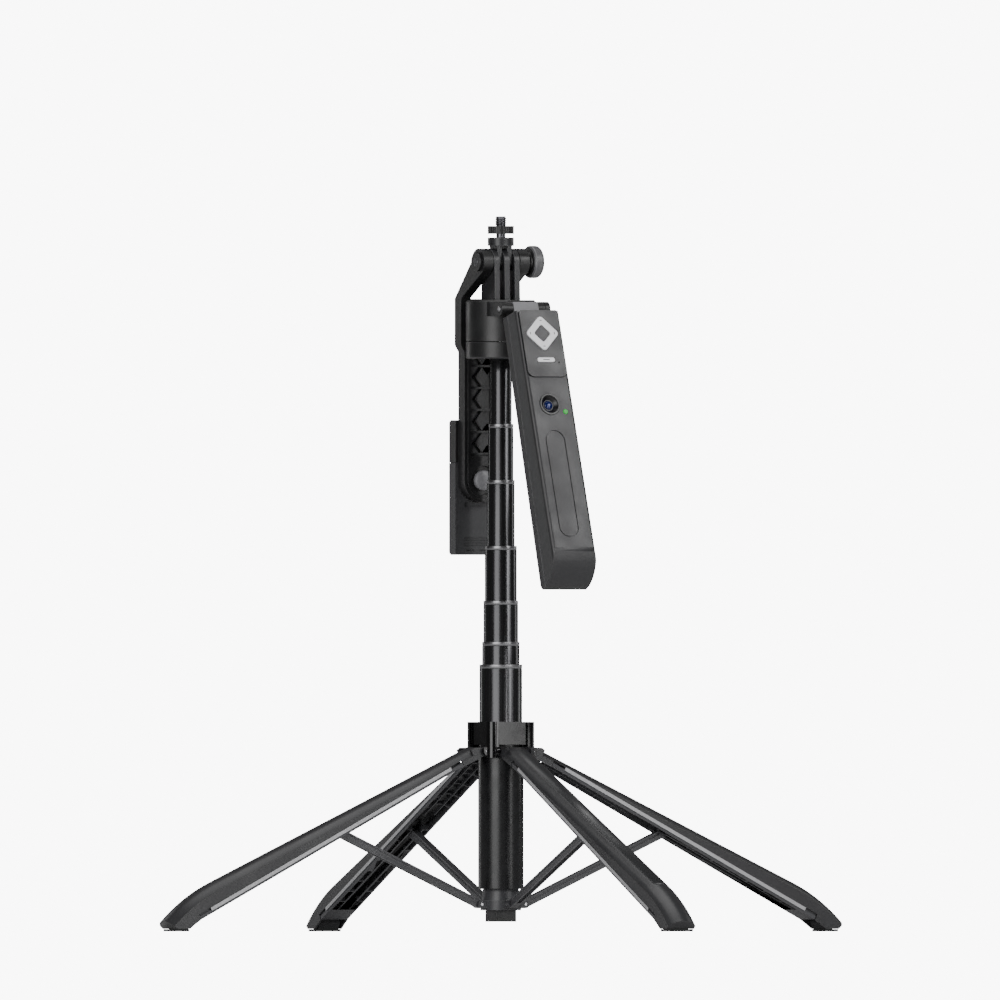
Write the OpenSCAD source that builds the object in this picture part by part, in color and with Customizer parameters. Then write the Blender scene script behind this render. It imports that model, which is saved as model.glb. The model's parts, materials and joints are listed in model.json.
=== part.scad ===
// Selfie stick: folding four-leg base, telescopic mast, panning head, remote-control bar,
// swinging phone arm with a spring clamp, and a three-prong action-camera fork.
// +Z is up. The origin is on the mast's axis, on the surface that the four toes stand on.
// The open legs lie along +X, +Y, -X and -Y. The remote bar is on the -Y side.

/* [Legs] */
// Angle of an open leg from straight down
leg_open_deg = 62.8; // [55:0.1:68]
// Distance from a leg's pivot to the end of its toe
leg_len = 222; // [205:1:240]
// Width of a leg
leg_w = 17.5; // [14:0.5:18]
// Height of the crown above the pivot line, at the pivot
crown_h = 4.6; // [4.2:0.1:5.5]
// Slope of the crown against the pivot line
crown_deg = 2.5; // [1.5:0.1:3]
// Height of the arched part of the leg's section
arch_h = 4; // [3:0.1:4.4]
// Wall of the leg shell
leg_wall = 1.2; // [1:0.1:1.5]
// Distance of a leg's pivot from the mast's axis
leg_pivot_r = 14.4; // [14.4:0.1:15]
// Diameter of the leg pins
leg_pin_d = 2; // [1.6:0.1:2.2]
// Distance between two ribs of the ladder insert
rib_pitch = 12.5; // [9:0.5:16]

/* [Struts] */
// Distance between the two pivots of a strut
strut_len = 101.6; // [98:0.1:104]
// Angle of a strut from straight up when the legs are open
strut_open_deg = 65.75; // [64:0.25:67]
// Angle of a strut from straight up when the legs are folded
strut_fold_deg = 178.2; // [177:0.1:179]
// Distance of a strut's inner pivot from the mast's axis
strut_pivot_r = 14; // [13.6:0.1:14.4]
// Depth of the struts' inner pivots below the leg pivots
pivot_drop = 85.8; // [85:0.1:87]
// Width of a strut
strut_w = 4.4; // [3.6:0.2:4.6]
// Depth of a strut
strut_h = 4.6; // [3.8:0.2:5]
// Diameter of the struts' inner pins
strut_pin_d = 1.8; // [1.4:0.1:2]
// Diameter of the trunnions that slide in the rails
trunnion_d = 2; // [1.6:0.1:2.2]

/* [Mast] */
// Outer diameter of the fixed post
post_d = 25.5; // [25.4:0.1:26]
// Outer diameter of tube 1
tube_1_d = 24; // [23.9:0.1:24]
// Outer diameter of tube 2
tube_2_d = 21; // [20.8:0.1:22]
// Outer diameter of tube 3
tube_3_d = 19.5; // [19.3:0.1:19.5]
// Outer diameter of tube 4
tube_4_d = 18; // [17.4:0.1:18]
// Outer diameter of tube 5
tube_5_d = 15.6; // [15.5:0.1:16.2]
// Outer diameter of tube 6
tube_6_d = 14.1; // [13.9:0.1:14.1]
// Outer diameter of tube 7
tube_7_d = 12.3; // [10.8:0.1:12.6]
// Wall of every tube
tube_wall = 0.5; // [0.4:0.05:0.55]
// Length of tube 1 that shows above the post
tube_1_out = 32.1; // [10:0.1:50]
// Length of tube 2 that shows
tube_2_out = 12.7; // [8:0.1:50]
// Length of tube 3 that shows
tube_3_out = 23; // [8:0.1:50]
// Length of tube 4 that shows
tube_4_out = 30.7; // [8:0.1:50]
// Length of tube 5 that shows
tube_5_out = 36.9; // [8:0.1:50]
// Length of tube 6 that shows
tube_6_out = 31.4; // [8:0.1:50]
// Length of tube 7 that shows below the head
tube_7_out = 36.4; // [8:0.1:50]
// Length that a pushed-in tube still stands above the tube around it
tube_stack = 3; // [2.5:0.1:4]
// Height of the polished lip at the top of every tube
lip_h = 2.2; // [1.5:0.1:2.4]
// Length of the bearing end at the bottom of every tube
land_h = 8; // [5:0.5:9]

/* [Hub] */
// Half of the collar's width
collar_half = 15; // [15:0.1:16]
// Radius of the collar's corners
collar_corner = 4.5; // [3:0.1:6]
// Height of the collar's top above the leg pivots
collar_h = 16.4; // [14:0.1:20]
// Height of the collar's main lower edge above the leg pivots
collar_edge_h = 1.8; // [1.5:0.1:3]
// Depth of the corner lobes below the leg pivots
lobe_drop = 3.8; // [3:0.1:5]
// Radius of the rounded pivot ears
ear_r = 2.4; // [2.2:0.1:2.5]
// Width of the square plug under the spider
plug_w = 13.2; // [8:0.1:14]
// Height of the square plug
plug_h = 6.4; // [3:0.1:6.6]

/* [Head] */
// Radius of the head
head_r = 19.6; // [17:0.1:19.6]
// Height of the fixed lower ring of the head
head_ring_h = 9.6; // [9.2:0.1:12]
// Height of the panning part of the head
head_body_h = 23.1; // [22:0.1:25]
// Height of the fork's axle above the head
axle_h = 21.3; // [20.5:0.1:23]
// Radius of the fork's prongs
prong_r = 7.5; // [7:0.1:7.6]
// Thickness of a prong
prong_t = 3.3; // [3:0.1:3.4]
// Gap between two prongs
prong_gap = 3.1; // [3.1:0.05:3.3]
// Diameter of the axle bolt
axle_d = 4.8; // [4:0.1:5]
// Diameter of the camera screw's thread
stud_d = 6.35; // [6.2:0.05:6.35]
// Length of the camera screw above the adapter's disc
stud_len = 11.9; // [11:0.1:13]
// Diameter of the adapter's disc and of the lock disc
disc_d = 14.7; // [12:0.1:16]
// Radius of the thumb knob
knob_r = 9.1; // [7:0.1:11]

/* [Phone arm] */
// Distance of the arm's front face behind the mast's axis
arm_front_y = 20; // [20:0.1:21]
// Thickness of the arm's bar
arm_t = 7.4; // [6:0.1:8]
// Half width of the arm's bar
arm_half = 12.3; // [11:0.1:13]
// Half width over the arm's two ears
yoke_half = 14.6; // [13.5:0.1:15]
// Distance from the axle down to the clamp's swivel
arm_len = 122.3; // [110:0.1:130]
// Half width of the phone clamp
clamp_half = 13.9; // [13.5:0.1:15]
// Thickness of the phone clamp's plate
clamp_t = 7.5; // [7:0.1:9]
// Height of the closed clamp
clamp_h = 75.6; // [70:0.1:80]
// How far the jaw pulls open
jaw_travel = 28; // [15:1:30]

/* [Remote bar] */
// Tilt of the bar from straight down
bar_tilt_deg = 16.4; // [0:0.1:30]
// Distance of the bar's hinge in front of the mast's axis
bar_hinge_y = 26.1; // [26:0.1:28]
// Depth of the bar's hinge below the top of the head
bar_hinge_drop = 5; // [4.6:0.1:7]
// Width of the bar
bar_w = 27.6; // [27:0.1:29]
// Length of the bar below its hinge
bar_len = 165; // [155:1:175]
// Thickness of the bar at its top
bar_top_t = 16.1; // [15:0.1:18]
// Thickness of the bar at its lower end
bar_end_t = 20; // [18:0.1:21]
// Width of the remote
remote_w = 25; // [24:0.1:25.4]
// Length of the remote
remote_len = 39.2; // [38:0.1:42]
// Thickness of the remote below the bar's surface
remote_t = 7.4; // [7:0.1:7.6]
// How far the remote stands proud of the bar
remote_rise = 0.8; // [0.4:0.1:1]
// Radius of the lens bezel
lens_r = 6.4; // [5.5:0.1:7]

/* [Fits] */
// Running clearance of a pin or shaft in its bore
run_clear = 0.05; // [0.03:0.01:0.1]
// Clearance between pieces that slide or swing past each other
gap = 0.3; // [0.2:0.05:0.35]

/* [Hidden] */
SIDES = ["right", "back", "left", "front"];
TUBE_D = [post_d, tube_1_d, tube_2_d, tube_3_d, tube_4_d, tube_5_d, tube_6_d, tube_7_d];
TUBE_OUT = [0, tube_1_out, tube_2_out, tube_3_out, tube_4_out, tube_5_out, tube_6_out, tube_7_out];
TUBE_COUNT = 7;
fine = 64;                 // segments of a true circle
far = 60;                  // reach of a cutting box past the piece
press = 0.02;              // clearance between pieces that are fixed together

// --- heights of the base
sole_mid = 4.8;                  // from the toe's end back to the middle of its sole
sole_drop = 1.932;               // depth of that middle below the pivot line
leg_pivot_z = (leg_len - sole_mid) * cos(leg_open_deg) + sole_drop * sin(leg_open_deg);
strut_pivot_z = leg_pivot_z - pivot_drop;
collar_top_z = leg_pivot_z + collar_h;
spider_drop = 3.4;               // underside of the spider below the strut pivots
plug_shank_d = 6;
plug_corner = 0.8;

// --- mast heights
post_bottom_z = strut_pivot_z + 8.6;
stem_top_z = post_bottom_z + 7.2;
tube_floor_z = stem_top_z + 0.8;
function sum_out(i) = i == 0 ? 0 : TUBE_OUT[i] + sum_out(i - 1);
function tube_top(i) = collar_top_z + sum_out(i);
function tube_len(i) = collar_top_z + tube_stack * i - tube_floor_z + (i == TUBE_COUNT ? socket_h : 0);
function tube_r_in(i) = TUBE_D[i] / 2 - tube_wall;

// --- head heights
socket_h = 7.6;
head_z = tube_top(TUBE_COUNT);
pan_gap = gap;
body_z = head_z + head_ring_h + pan_gap;
head_top_z = body_z + head_body_h;
axle_z = head_top_z + axle_h;
pan_bolt_d = 4;
fork_base_r = 12;
fork_base_t = 3;
adapter_r = 4.8;
disc_z = axle_z + 9;             // underside of the adapter's disc
disc_t = 4.7;
lock_disc_t = 4.5;
lock_disc_lift = 2;              // gap between the adapter's disc and the lock disc
stud_neck_d = 5.2;               // plain shank of the camera screw under its thread
stud_tip_lift = 0.2;             // the thread starts this far above the lock disc
stud_chamfer = 0.7;
nut_t = 1.7;
knob_x = yoke_half + 2.4;
knob_t = 6.7;
swivel_d = 5;
screw_seat_r = 8.2;
screw_seat_h = 2;

// --- leg section and outline
pin_clear = run_clear;
lobe_inner = leg_w / 2 + 0.35;
lobe_ear_t = 2.3;
boss_t = 2;
crown_turn_u = leg_len - 37;     // where the straight crown starts to curve down
crown_turn_r = 100;              // radius of that curve
crown_turn_deg = 24;
split_h = 2.2;                   // lower edge of the shell above the pivot line
insert_drop = 1.2;               // lower edge of the insert below the pivot line
insert_start_u = 16;
insert_end_u = leg_len - 18;
strip_start_u = 24;
strip_end_u = insert_end_u - 8;
rail_start_u = 94;
rail_half = strut_w / 2 + 0.7;
rail_t = 1;
rib_t = 0.9;
sole_t = 1.3;

// A point of the strut's outer pivot in the leg's own axes, at a share s of the fold
function pin_angle(s) = strut_open_deg + s * (strut_fold_deg - strut_open_deg);
function pin_dr(s) = strut_pivot_r + strut_len * sin(pin_angle(s)) - leg_pivot_r;
function pin_dz(s) = strut_pivot_z + strut_len * cos(pin_angle(s)) - leg_pivot_z;
function leg_angle(s) = leg_open_deg * (1 - s);
function pin_uv(s) = [
    pin_dr(s) * sin(leg_angle(s)) - pin_dz(s) * cos(leg_angle(s)),
    pin_dr(s) * cos(leg_angle(s)) + pin_dz(s) * sin(leg_angle(s))
];
slot_a = pin_uv(0);
slot_b = pin_uv(1);
// how far the trunnion strays from a straight line on its way along the slot
slot_bow = pin_uv(0.5)[1] - (slot_a[1] + slot_b[1]) / 2;
slot_r = trunnion_d / 2 + abs(slot_bow) / 2 + gap / 2;
slot_shift = slot_bow / 2;
rib_lap = 0.1;                   // overlap of a rib with the walls it joins
trunnion_half = rail_half + rail_t - rib_lap - gap / 2;

// Height of the floor under the open leg, in the leg's axes
function floor_v(u) = (u * cos(leg_open_deg) - leg_pivot_z) / sin(leg_open_deg);
floor_n = [-cos(leg_open_deg), sin(leg_open_deg)];
function over_floor(u, h) = [u, floor_v(u)] + h * floor_n;

// --- remote bar
bar_hinge_z = head_top_z - bar_hinge_drop;
bar_top_d = 5.6;                 // top of the bar's body below its hinge
face_len = 136;                  // length of the bar's straight front face
face_deg = atan((bar_end_t - bar_top_t) / face_len);
seam_f = 5.6;                    // parting plane of the two shells
shell_t = 1.6;
hinge_pin_d = 2.8;
hinge_ear_r = 4;
hinge_ear_t = 3;
hinge_ear_in = 12.4;
key_rise = 0.7;
key_travel = 0.6;
key_gap = key_travel + 0.4;
block_half = 7.8;                // half width of the hinge block between its barrels
front_edge_r = 2.2;              // radius of the bar's two long front edges
hollow_end = 26;                 // solid toe of the front shell
remote_clear = 0.25;             // seam round the remote
remote_top_r = 2;
remote_low_r = 4;
pad_p = 13.9;                    // centre of the four-way pad down the face
pad_half = 10.8;                 // half diagonal of the pad
pad_hole = 5.2;                  // half diagonal of its opening
pill_p = remote_len - 9.8;       // middle of the shutter key
pill_w = 11.2;
pill_h = 3;
grip_x = -1.5;                   // the lens and the grip's outline are set off centre
lens_p = remote_len + 16.1;
led_x = 7.8;
led_p = lens_p + 4.3;
led_r = 1.5;
groove_top_p = lens_p + 15.2;
groove_end_p = groove_top_p + 63;
groove_r = 6.2;

// --- phone clamp
swivel_z = axle_z - arm_len;
clamp_front_y = arm_front_y + arm_t + gap;
clamp_back_y = clamp_front_y + clamp_t;
clamp_bottom_z = swivel_z - 41.8;
clamp_top_z = clamp_bottom_z + clamp_h;
clamp_split_z = clamp_bottom_z + 51.6;
lip_half = 8;
lip_out = 9;
lip_t = 4;
pad_t = 1.2;
tongue_half = 7.4;
tongue_t = 2.4;
tongue_y = clamp_front_y + 3.4;
spring_x = 10.2;
spring_r = 1.2;
lap_t = 0.9;                     // rear lip that covers the clamp's parting line
lap_h = 2;

// ---------------------------------------------------------------- helpers
module box(x, y, z) {
    translate([x[0], y[0], z[0]]) cube([x[1] - x[0], y[1] - y[0], z[1] - z[0]]);
}

// A round bar along X from x0 to x1
module x_rod(r, x0, x1) {
    translate([x0, 0, 0]) rotate([0, 90, 0]) cylinder(r = r, h = x1 - x0, $fn = fine);
}

// A round bar along Y from y0 to y1
module y_rod(r, y0, y1) {
    translate([0, y0, 0]) rotate([-90, 0, 0]) cylinder(r = r, h = y1 - y0, $fn = fine);
}

// An outline in Y and Z, extruded along X from x0 to x1
module x_slab(x0, x1) {
    translate([x0, 0, 0]) rotate([90, 0, 90]) linear_extrude(height = x1 - x0) children();
}

module rounded_square(half, r) {
    square([2 * (half - r), 2 * half], center = true);
    square([2 * half, 2 * (half - r)], center = true);
    for (x = [-1, 1], y = [-1, 1]) translate([x, y] * (half - r)) circle(r = r, $fn = fine);
}

// A bar of width w with round ends between two points of the plane
module link_shape(a, b, r) {
    for (p = [a, b]) translate(p) circle(r = r, $fn = fine);
    d = b - a;
    translate(a) rotate(atan2(d[1], d[0])) translate([0, -r]) square([norm(d), 2 * r]);
}

// ---------------------------------------------------------------- legs
// Children are drawn with X along the leg, Y outward from the mast and Z across the leg
module in_leg(i) {
    rotate([0, 0, 90 * i]) translate([leg_pivot_r, 0, leg_pivot_z])
        rotate([0, -leg_open_deg, 0]) rotate([90, 90, 0]) children();
}

// An outline along the leg, extruded across it from w0 to w1
module across(w0, w1) {
    translate([0, 0, w0]) linear_extrude(height = w1 - w0) children();
}

module across_both(w0, w1) {
    across(w0, w1) children();
    across(-w1, -w0) children();
}

// Section of the leg: an arch on two straight sides, crown at the origin
module arch_section(half, sagitta) {
    r = (half * half + sagitta * sagitta) / (2 * sagitta);
    intersection() {
        translate([0, -far / 2]) square([2 * half, far], center = true);
        union() {
            translate([0, -r]) circle(r = r, $fn = fine);
            translate([-half, -far]) square([2 * half, far - sagitta]);
        }
    }
}

// The whole form under the crown: straight, then curved down to the toe
module crown_form(half, sagitta, drop, start_u) {
    run = (crown_turn_u - start_u) / cos(crown_deg);
    turn_v = crown_h + crown_turn_u * tan(crown_deg);
    translate([crown_turn_u, turn_v, 0]) rotate([0, 0, crown_deg]) {
        rotate([0, -90, 0]) linear_extrude(height = run)
            translate([0, -drop]) arch_section(half, sagitta);
        translate([0, -crown_turn_r, 0]) rotate([0, 0, 90 - crown_turn_deg])
            rotate_extrude(angle = crown_turn_deg, $fn = 2 * fine)
                translate([crown_turn_r - drop, 0]) intersection() {
                    rotate(-90) arch_section(half, sagitta);
                    translate([-30, -far / 2]) square([31, far]);
                }
    }
}

module shell_outline() {
    polygon([
        [-1.9, 1.4], [5.5, crown_h + 0.6], [5.5, 30], [leg_len + 3, 30],
        [leg_len, 6.2], over_floor(leg_len - 1.2, sole_t + 0.1), over_floor(leg_len - 8.4, sole_t + 0.1),
        [leg_len - 13, -1.8], [insert_end_u + 0.3, -insert_drop], [insert_end_u + 0.3, split_h],
        [insert_start_u - 0.3, split_h], [insert_start_u - 0.3, -insert_drop - 0.3], [0.5, -ear_r]
    ]);
}

module leg_shell(i) {
    inner_half = leg_w / 2 - leg_wall;
    color("#3c3c3f") in_leg(i) difference() {
        union() {
            intersection() {
                difference() {
                    crown_form(leg_w / 2, arch_h, 0, 4);
                    difference() {
                        crown_form(inner_half, arch_h - 0.5, leg_wall, 2);
                        translate([leg_len - 3.4, -far, -far]) cube(2 * far);
                    }
                }
                across(-leg_w, leg_w) shell_outline();
            }
            // side cheeks that carry the pivot, in front of the crown
            across_both(leg_w / 2 - boss_t, leg_w / 2 - 0.1) {
                circle(r = ear_r, $fn = fine);
                polygon([[-1.9, 1.4], [5.6, crown_h + 0.4], [8, crown_h], [8, -insert_drop], [0.5, -ear_r]]);
            }
        }
        across(-leg_w, leg_w) circle(d = leg_pin_d + 2 * pin_clear, $fn = fine);
        // the post's place between the cheeks when the leg is folded
        across(-leg_w / 2 + boss_t, leg_w / 2 - boss_t) translate([-6, -6]) square([12, 8]);
    }
}

module leg_rail(i) {
    half = leg_w / 2;
    in_half = half - leg_wall - 0.1;
    color("#77777b") in_leg(i) {
        difference() {
            union() {
                across_both(in_half, half + 0.2) translate([strip_start_u, 0.2])
                    square([strip_end_u - strip_start_u, split_h - 0.3]);
                across_both(in_half - 0.1, half - 0.3) translate([insert_start_u, -insert_drop])
                    square([insert_end_u - insert_start_u, insert_drop + 0.8]);
            }
        }
        // arched bulkheads between the pivot and the strut
        intersection() {
            difference() {
                for (u = [insert_start_u : rib_pitch : rail_start_u - 16])
                    translate([u, -insert_drop, -in_half]) cube([rib_t, 4, 2 * in_half]);
                translate([0, -9, 0]) rotate([0, 90, 0]) cylinder(r = 9.8, h = rail_start_u, $fn = fine);
            }
            crown_form(in_half, arch_h - 0.5, leg_wall + 0.1, 2);
        }
        across_both(rail_half, rail_half + 0.6) translate([insert_start_u, -0.3])
            square([rail_start_u - 16 - insert_start_u, 1.6]);
        // slotted rails that the strut's trunnions slide in
        across_both(rail_half, rail_half + rail_t) difference() {
            translate([rail_start_u, -insert_drop]) square([strip_end_u - rail_start_u, 6]);
            link_shape(slot_a + [0, slot_shift], slot_b + [0, slot_shift], slot_r);
        }
        for (u = [rail_start_u : rib_pitch : strip_end_u])
            across_both(rail_half + rail_t - rib_lap, in_half + rib_lap)
                translate([u, -insert_drop]) square([rib_t, 3.2]);
        across(-in_half, in_half) translate([strip_end_u - 4, -insert_drop])
            square([insert_end_u - strip_end_u + 4, 4.2]);
    }
}

module foot_pad(i) {
    half = leg_w / 2 - 0.5;
    color("#1d1d1f") in_leg(i) {
        across(-half, half) polygon([
            over_floor(leg_len - 8.2, 0), over_floor(leg_len - 1.4, 0),
            over_floor(leg_len - 1.4, sole_t), over_floor(leg_len - 8.2, sole_t)
        ]);
        across(-half + 1.7, half - 1.7) polygon([
            over_floor(leg_len - 8, sole_t / 2), over_floor(leg_len - 4.2, sole_t / 2),
            [leg_len - 3.8, 3], [leg_len - 14, 3], [leg_len - 12.5, -0.6]
        ]);
    }
}

// ---------------------------------------------------------------- struts
// Children are drawn with X along the strut, Y up from it and Z across it
module in_strut(i) {
    rotate([0, 0, 90 * i]) translate([strut_pivot_r, 0, strut_pivot_z])
        rotate([0, strut_open_deg - 90, 0]) rotate([90, 0, 0]) children();
}

module strut(i) {
    groove_h = 1.1;
    groove_t = 0.7;
    color("#5d5d60") in_strut(i) {
        difference() {
            across(-strut_w / 2, strut_w / 2) link_shape([0, 0], [strut_len, 0], strut_h / 2);
            across(-strut_w, strut_w) circle(d = strut_pin_d + 2 * run_clear, $fn = fine);
            for (s = [-1, 1]) translate([5, strut_h / 2 - 2, s * (strut_w / 2) - groove_t])
                cube([strut_len - 12, groove_h, 2 * groove_t]);
            // open channel along the underside
            translate([6, -strut_h, -strut_w / 2 + 0.9]) cube([strut_len - 14, strut_h - 1, strut_w - 1.8]);
        }
        across(-trunnion_half, trunnion_half) translate([strut_len, 0]) circle(d = trunnion_d, $fn = fine);
    }
}

// ---------------------------------------------------------------- hub
module collar_ears(extra) {
    for (i = [0 : 3]) rotate([0, 0, 90 * i]) for (s = [-1, 1])
        translate([leg_pivot_r, s * (lobe_inner + lobe_ear_t / 2), leg_pivot_z]) rotate([90, 0, 0])
            cylinder(r = ear_r + extra, h = lobe_ear_t, center = true, $fn = fine);
}

module hub_collar() {
    edge_z = leg_pivot_z + collar_edge_h;
    recess_r = post_d / 2 + 0.9;
    color("#0c0c0d") difference() {
        union() {
            translate([0, 0, leg_pivot_z - lobe_drop])
                linear_extrude(height = collar_top_z - leg_pivot_z + lobe_drop)
                    rounded_square(collar_half, collar_corner);
            collar_ears(0);
        }
        // recesses in line with the legs, deeper below the main edge
        for (i = [0 : 3]) rotate([0, 0, 90 * i]) {
            translate([recess_r, -lobe_inner, 0]) cube([far, 2 * lobe_inner, 2 * far]);
            translate([0, -lobe_inner, leg_pivot_z - far]) cube([far, 2 * lobe_inner, far + collar_edge_h + 1.8]);
            translate([leg_pivot_r, 0, leg_pivot_z]) rotate([90, 0, 0])
                cylinder(d = leg_pin_d, h = 2 * (lobe_inner + lobe_ear_t) + 2, center = true, $fn = fine);
        }
        cylinder(d = post_d + 2 * press, h = 3 * far, $fn = fine);
    }
}

module center_post() {
    r = post_d / 2;
    color("#2a2a2c") rotate_extrude($fn = fine) polygon([
        [r - tube_wall, post_bottom_z], [r, post_bottom_z], [r, collar_top_z - 0.5],
        [tube_1_d / 2 + run_clear, collar_top_z - 0.5], [tube_1_d / 2 + run_clear, collar_top_z - 0.5 - lip_h],
        [r - tube_wall, collar_top_z - 0.5 - lip_h]
    ]);
}

module spider() {
    disc_r = strut_pivot_r - strut_h / 2 - gap;
    ear_out = 2.2;
    base_z = strut_pivot_z - spider_drop;
    color("#6a6a6d") difference() {
        union() {
            translate([0, 0, base_z]) cylinder(r = disc_r, h = 5.4, $fn = fine);
            translate([0, 0, base_z + 5.3])
                cylinder(r1 = disc_r - 0.1, r2 = 10, h = post_bottom_z - base_z - 5.3, $fn = fine);
            translate([0, 0, post_bottom_z - 0.1])
                cylinder(r = tube_r_in(0) - press, h = stem_top_z - post_bottom_z + 0.1, $fn = fine);
            for (i = [0 : 3]) rotate([0, 0, 90 * i]) for (s = [-1, 1])
                translate([0, s * (strut_w / 2 + run_clear + 0.05 + 0.8), 0]) rotate([90, 0, 0])
                    linear_extrude(height = 1.6, center = true) {
                        translate([strut_pivot_r, strut_pivot_z]) circle(r = ear_out, $fn = fine);
                        translate([disc_r - 3, strut_pivot_z - ear_out])
                            square([strut_pivot_r - disc_r + 3, 2 * ear_out]);
                    }
        }
        for (a = [0, 90]) rotate([0, 0, a]) for (s = [-1, 1])
            translate([s * strut_pivot_r, 0, strut_pivot_z]) rotate([90, 0, 0])
                cylinder(d = strut_pin_d, h = strut_w + 8, center = true, $fn = fine);
        cylinder(d = plug_shank_d + 2 * press, h = stem_top_z + 1, $fn = fine);
    }
}

module base_plug() {
    top_z = strut_pivot_z - spider_drop;
    color("#1a1a1b") {
        translate([0, 0, top_z - plug_h]) linear_extrude(height = plug_h) rounded_square(plug_w / 2, plug_corner);
        translate([0, 0, top_z - 0.1]) cylinder(d = plug_shank_d, h = 14, $fn = fine);
    }
}

module pivot_pins() {
    leg_pin_half = lobe_inner + lobe_ear_t;
    strut_pin_half = strut_w / 2 + run_clear + 0.05 + 1.6;
    color("#b8b8bc") for (i = [0 : 3]) rotate([0, 0, 90 * i]) {
        translate([leg_pivot_r, 0, leg_pivot_z]) rotate([90, 0, 0])
            cylinder(d = leg_pin_d, h = 2 * leg_pin_half, center = true, $fn = fine);
        translate([strut_pivot_r, 0, strut_pivot_z]) rotate([90, 0, 0])
            cylinder(d = strut_pin_d, h = 2 * strut_pin_half, center = true, $fn = fine);
    }
}

// ---------------------------------------------------------------- mast
module mast_tube(i) {
    r = TUBE_D[i] / 2;
    r_in = tube_r_in(i);
    land_r = tube_r_in(i - 1) - run_clear;
    top = tube_top(i) + (i == TUBE_COUNT ? socket_h : 0);
    bottom = top - tube_len(i);
    lip_r = i == TUBE_COUNT ? r_in : TUBE_D[i + 1] / 2 + run_clear;
    color("#2b2b2e") rotate_extrude($fn = fine) polygon([
        [r_in, bottom], [land_r - 0.1, bottom], [land_r, bottom + 0.3], [land_r, bottom + land_h],
        [r, bottom + land_h + 0.4], [r, top - 0.25], [r - 0.15, top],
        [lip_r, top], [lip_r, top - lip_h], [r_in, top - lip_h - 0.3]
    ]);
}

// ---------------------------------------------------------------- head
module head_ring() {
    color("#202022") difference() {
        translate([0, 0, head_z]) rotate_extrude($fn = 2 * fine) polygon([
            [0, 0], [head_r - 0.8, 0], [head_r, 0.8], [head_r, head_ring_h], [0, head_ring_h]
        ]);
        translate([0, 0, head_z - 1]) cylinder(d = tube_7_d + 2 * press, h = socket_h + 1, $fn = fine);
        cylinder(d = pan_bolt_d + 2 * press, h = 2 * far + head_z, $fn = fine);
    }
}

module pan_bolt() {
    shank = head_ring_h - socket_h + pan_gap + 8;
    color("#a9a9ad") translate([0, 0, head_z + socket_h]) {
        cylinder(d = pan_bolt_d, h = shank, $fn = fine);
        translate([0, 0, shank - 0.1]) difference() {
            cylinder(d = 8, h = 3, $fn = fine);
            translate([0, 0, 1.4]) cylinder(d = 4, h = 2, $fn = 6);
        }
    }
}

module head_body() {
    bolt_seat = body_z + 8;
    color("#1b1b1d") difference() {
        union() {
            translate([0, 0, body_z]) rotate_extrude($fn = 2 * fine) polygon([
                [0, 0], [head_r, 0], [head_r, head_body_h - 1], [head_r - 1, head_body_h], [0, head_body_h]
            ]);
            for (s = [-1, 1]) translate([0, 0, bar_hinge_z])
                x_slab(s * (hinge_ear_in + hinge_ear_t / 2) - hinge_ear_t / 2,
                       s * (hinge_ear_in + hinge_ear_t / 2) + hinge_ear_t / 2) {
                    translate([-bar_hinge_y, 0]) circle(r = hinge_ear_r, $fn = fine);
                    translate([-bar_hinge_y, -hinge_ear_r]) square([bar_hinge_y - 8, 2 * hinge_ear_r]);
                }
        }
        translate([0, 0, body_z - 1]) cylinder(d = pan_bolt_d + 2 * run_clear, h = 20, $fn = fine);
        translate([0, 0, bolt_seat - 0.1]) cylinder(d = 8.6, h = far, $fn = fine);
        translate([0, 0, head_top_z - fork_base_t]) cylinder(r = fork_base_r + press, h = far, $fn = fine);
        translate([0, -bar_hinge_y, bar_hinge_z]) x_rod(hinge_pin_d / 2, -far, far);
        // relief in the head's front for the bar's hinge block
        box([-hinge_ear_in + 0.1, hinge_ear_in - 0.1], [-far, -bar_hinge_y + 7.6],
            [bar_hinge_z - 9, head_top_z + 1]);
    }
}

module camera_fork() {
    pitch = prong_t + prong_gap;
    color("#333336") {
        difference() {
            translate([0, 0, axle_z]) for (k = [-1 : 1])
                x_slab(k * pitch - prong_t / 2, k * pitch + prong_t / 2) {
                    circle(r = prong_r, $fn = fine);
                    polygon([[-prong_r, 0], [prong_r, 0], [prong_r + 0.6, -axle_h - 0.1], [-prong_r - 0.6, -axle_h - 0.1]]);
                }
            translate([0, 0, axle_z]) x_rod(axle_d / 2 + run_clear, -far, far);
        }
        translate([0, 0, head_top_z - fork_base_t]) cylinder(r = fork_base_r, h = fork_base_t, $fn = fine);
    }
}

module camera_adapter() {
    finger_t = prong_gap - 0.2;
    color("#242426") difference() {
        union() {
            translate([0, 0, axle_z]) for (s = [-1, 1]) {
                mid = s * (prong_t + prong_gap) / 2;
                x_slab(mid - finger_t / 2, mid + finger_t / 2) {
                    circle(r = adapter_r, $fn = fine);
                    translate([-adapter_r, 0]) square([2 * adapter_r, disc_z - axle_z + 0.1]);
                }
            }
            translate([0, 0, disc_z]) cylinder(d = disc_d, h = disc_t, $fn = fine);
        }
        translate([0, 0, axle_z]) x_rod(axle_d / 2 + run_clear, -far, far);
        translate([0, 0, disc_z + 1]) cylinder(d = stud_neck_d, h = far, $fn = fine);
    }
}

module stud_screw() {
    neck_h = disc_t - 1 + lock_disc_lift + lock_disc_t + stud_tip_lift;
    top = disc_t - 1 + stud_len;
    color("#9b9ba0") translate([0, 0, disc_z + 1])
        rotate_extrude($fn = fine) polygon([
            [0, 0], [stud_neck_d / 2, 0], [stud_neck_d / 2, neck_h], [stud_d / 2, neck_h],
            [stud_d / 2, top - stud_chamfer], [stud_d / 2 - stud_chamfer, top], [0, top]
        ]);
}

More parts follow.
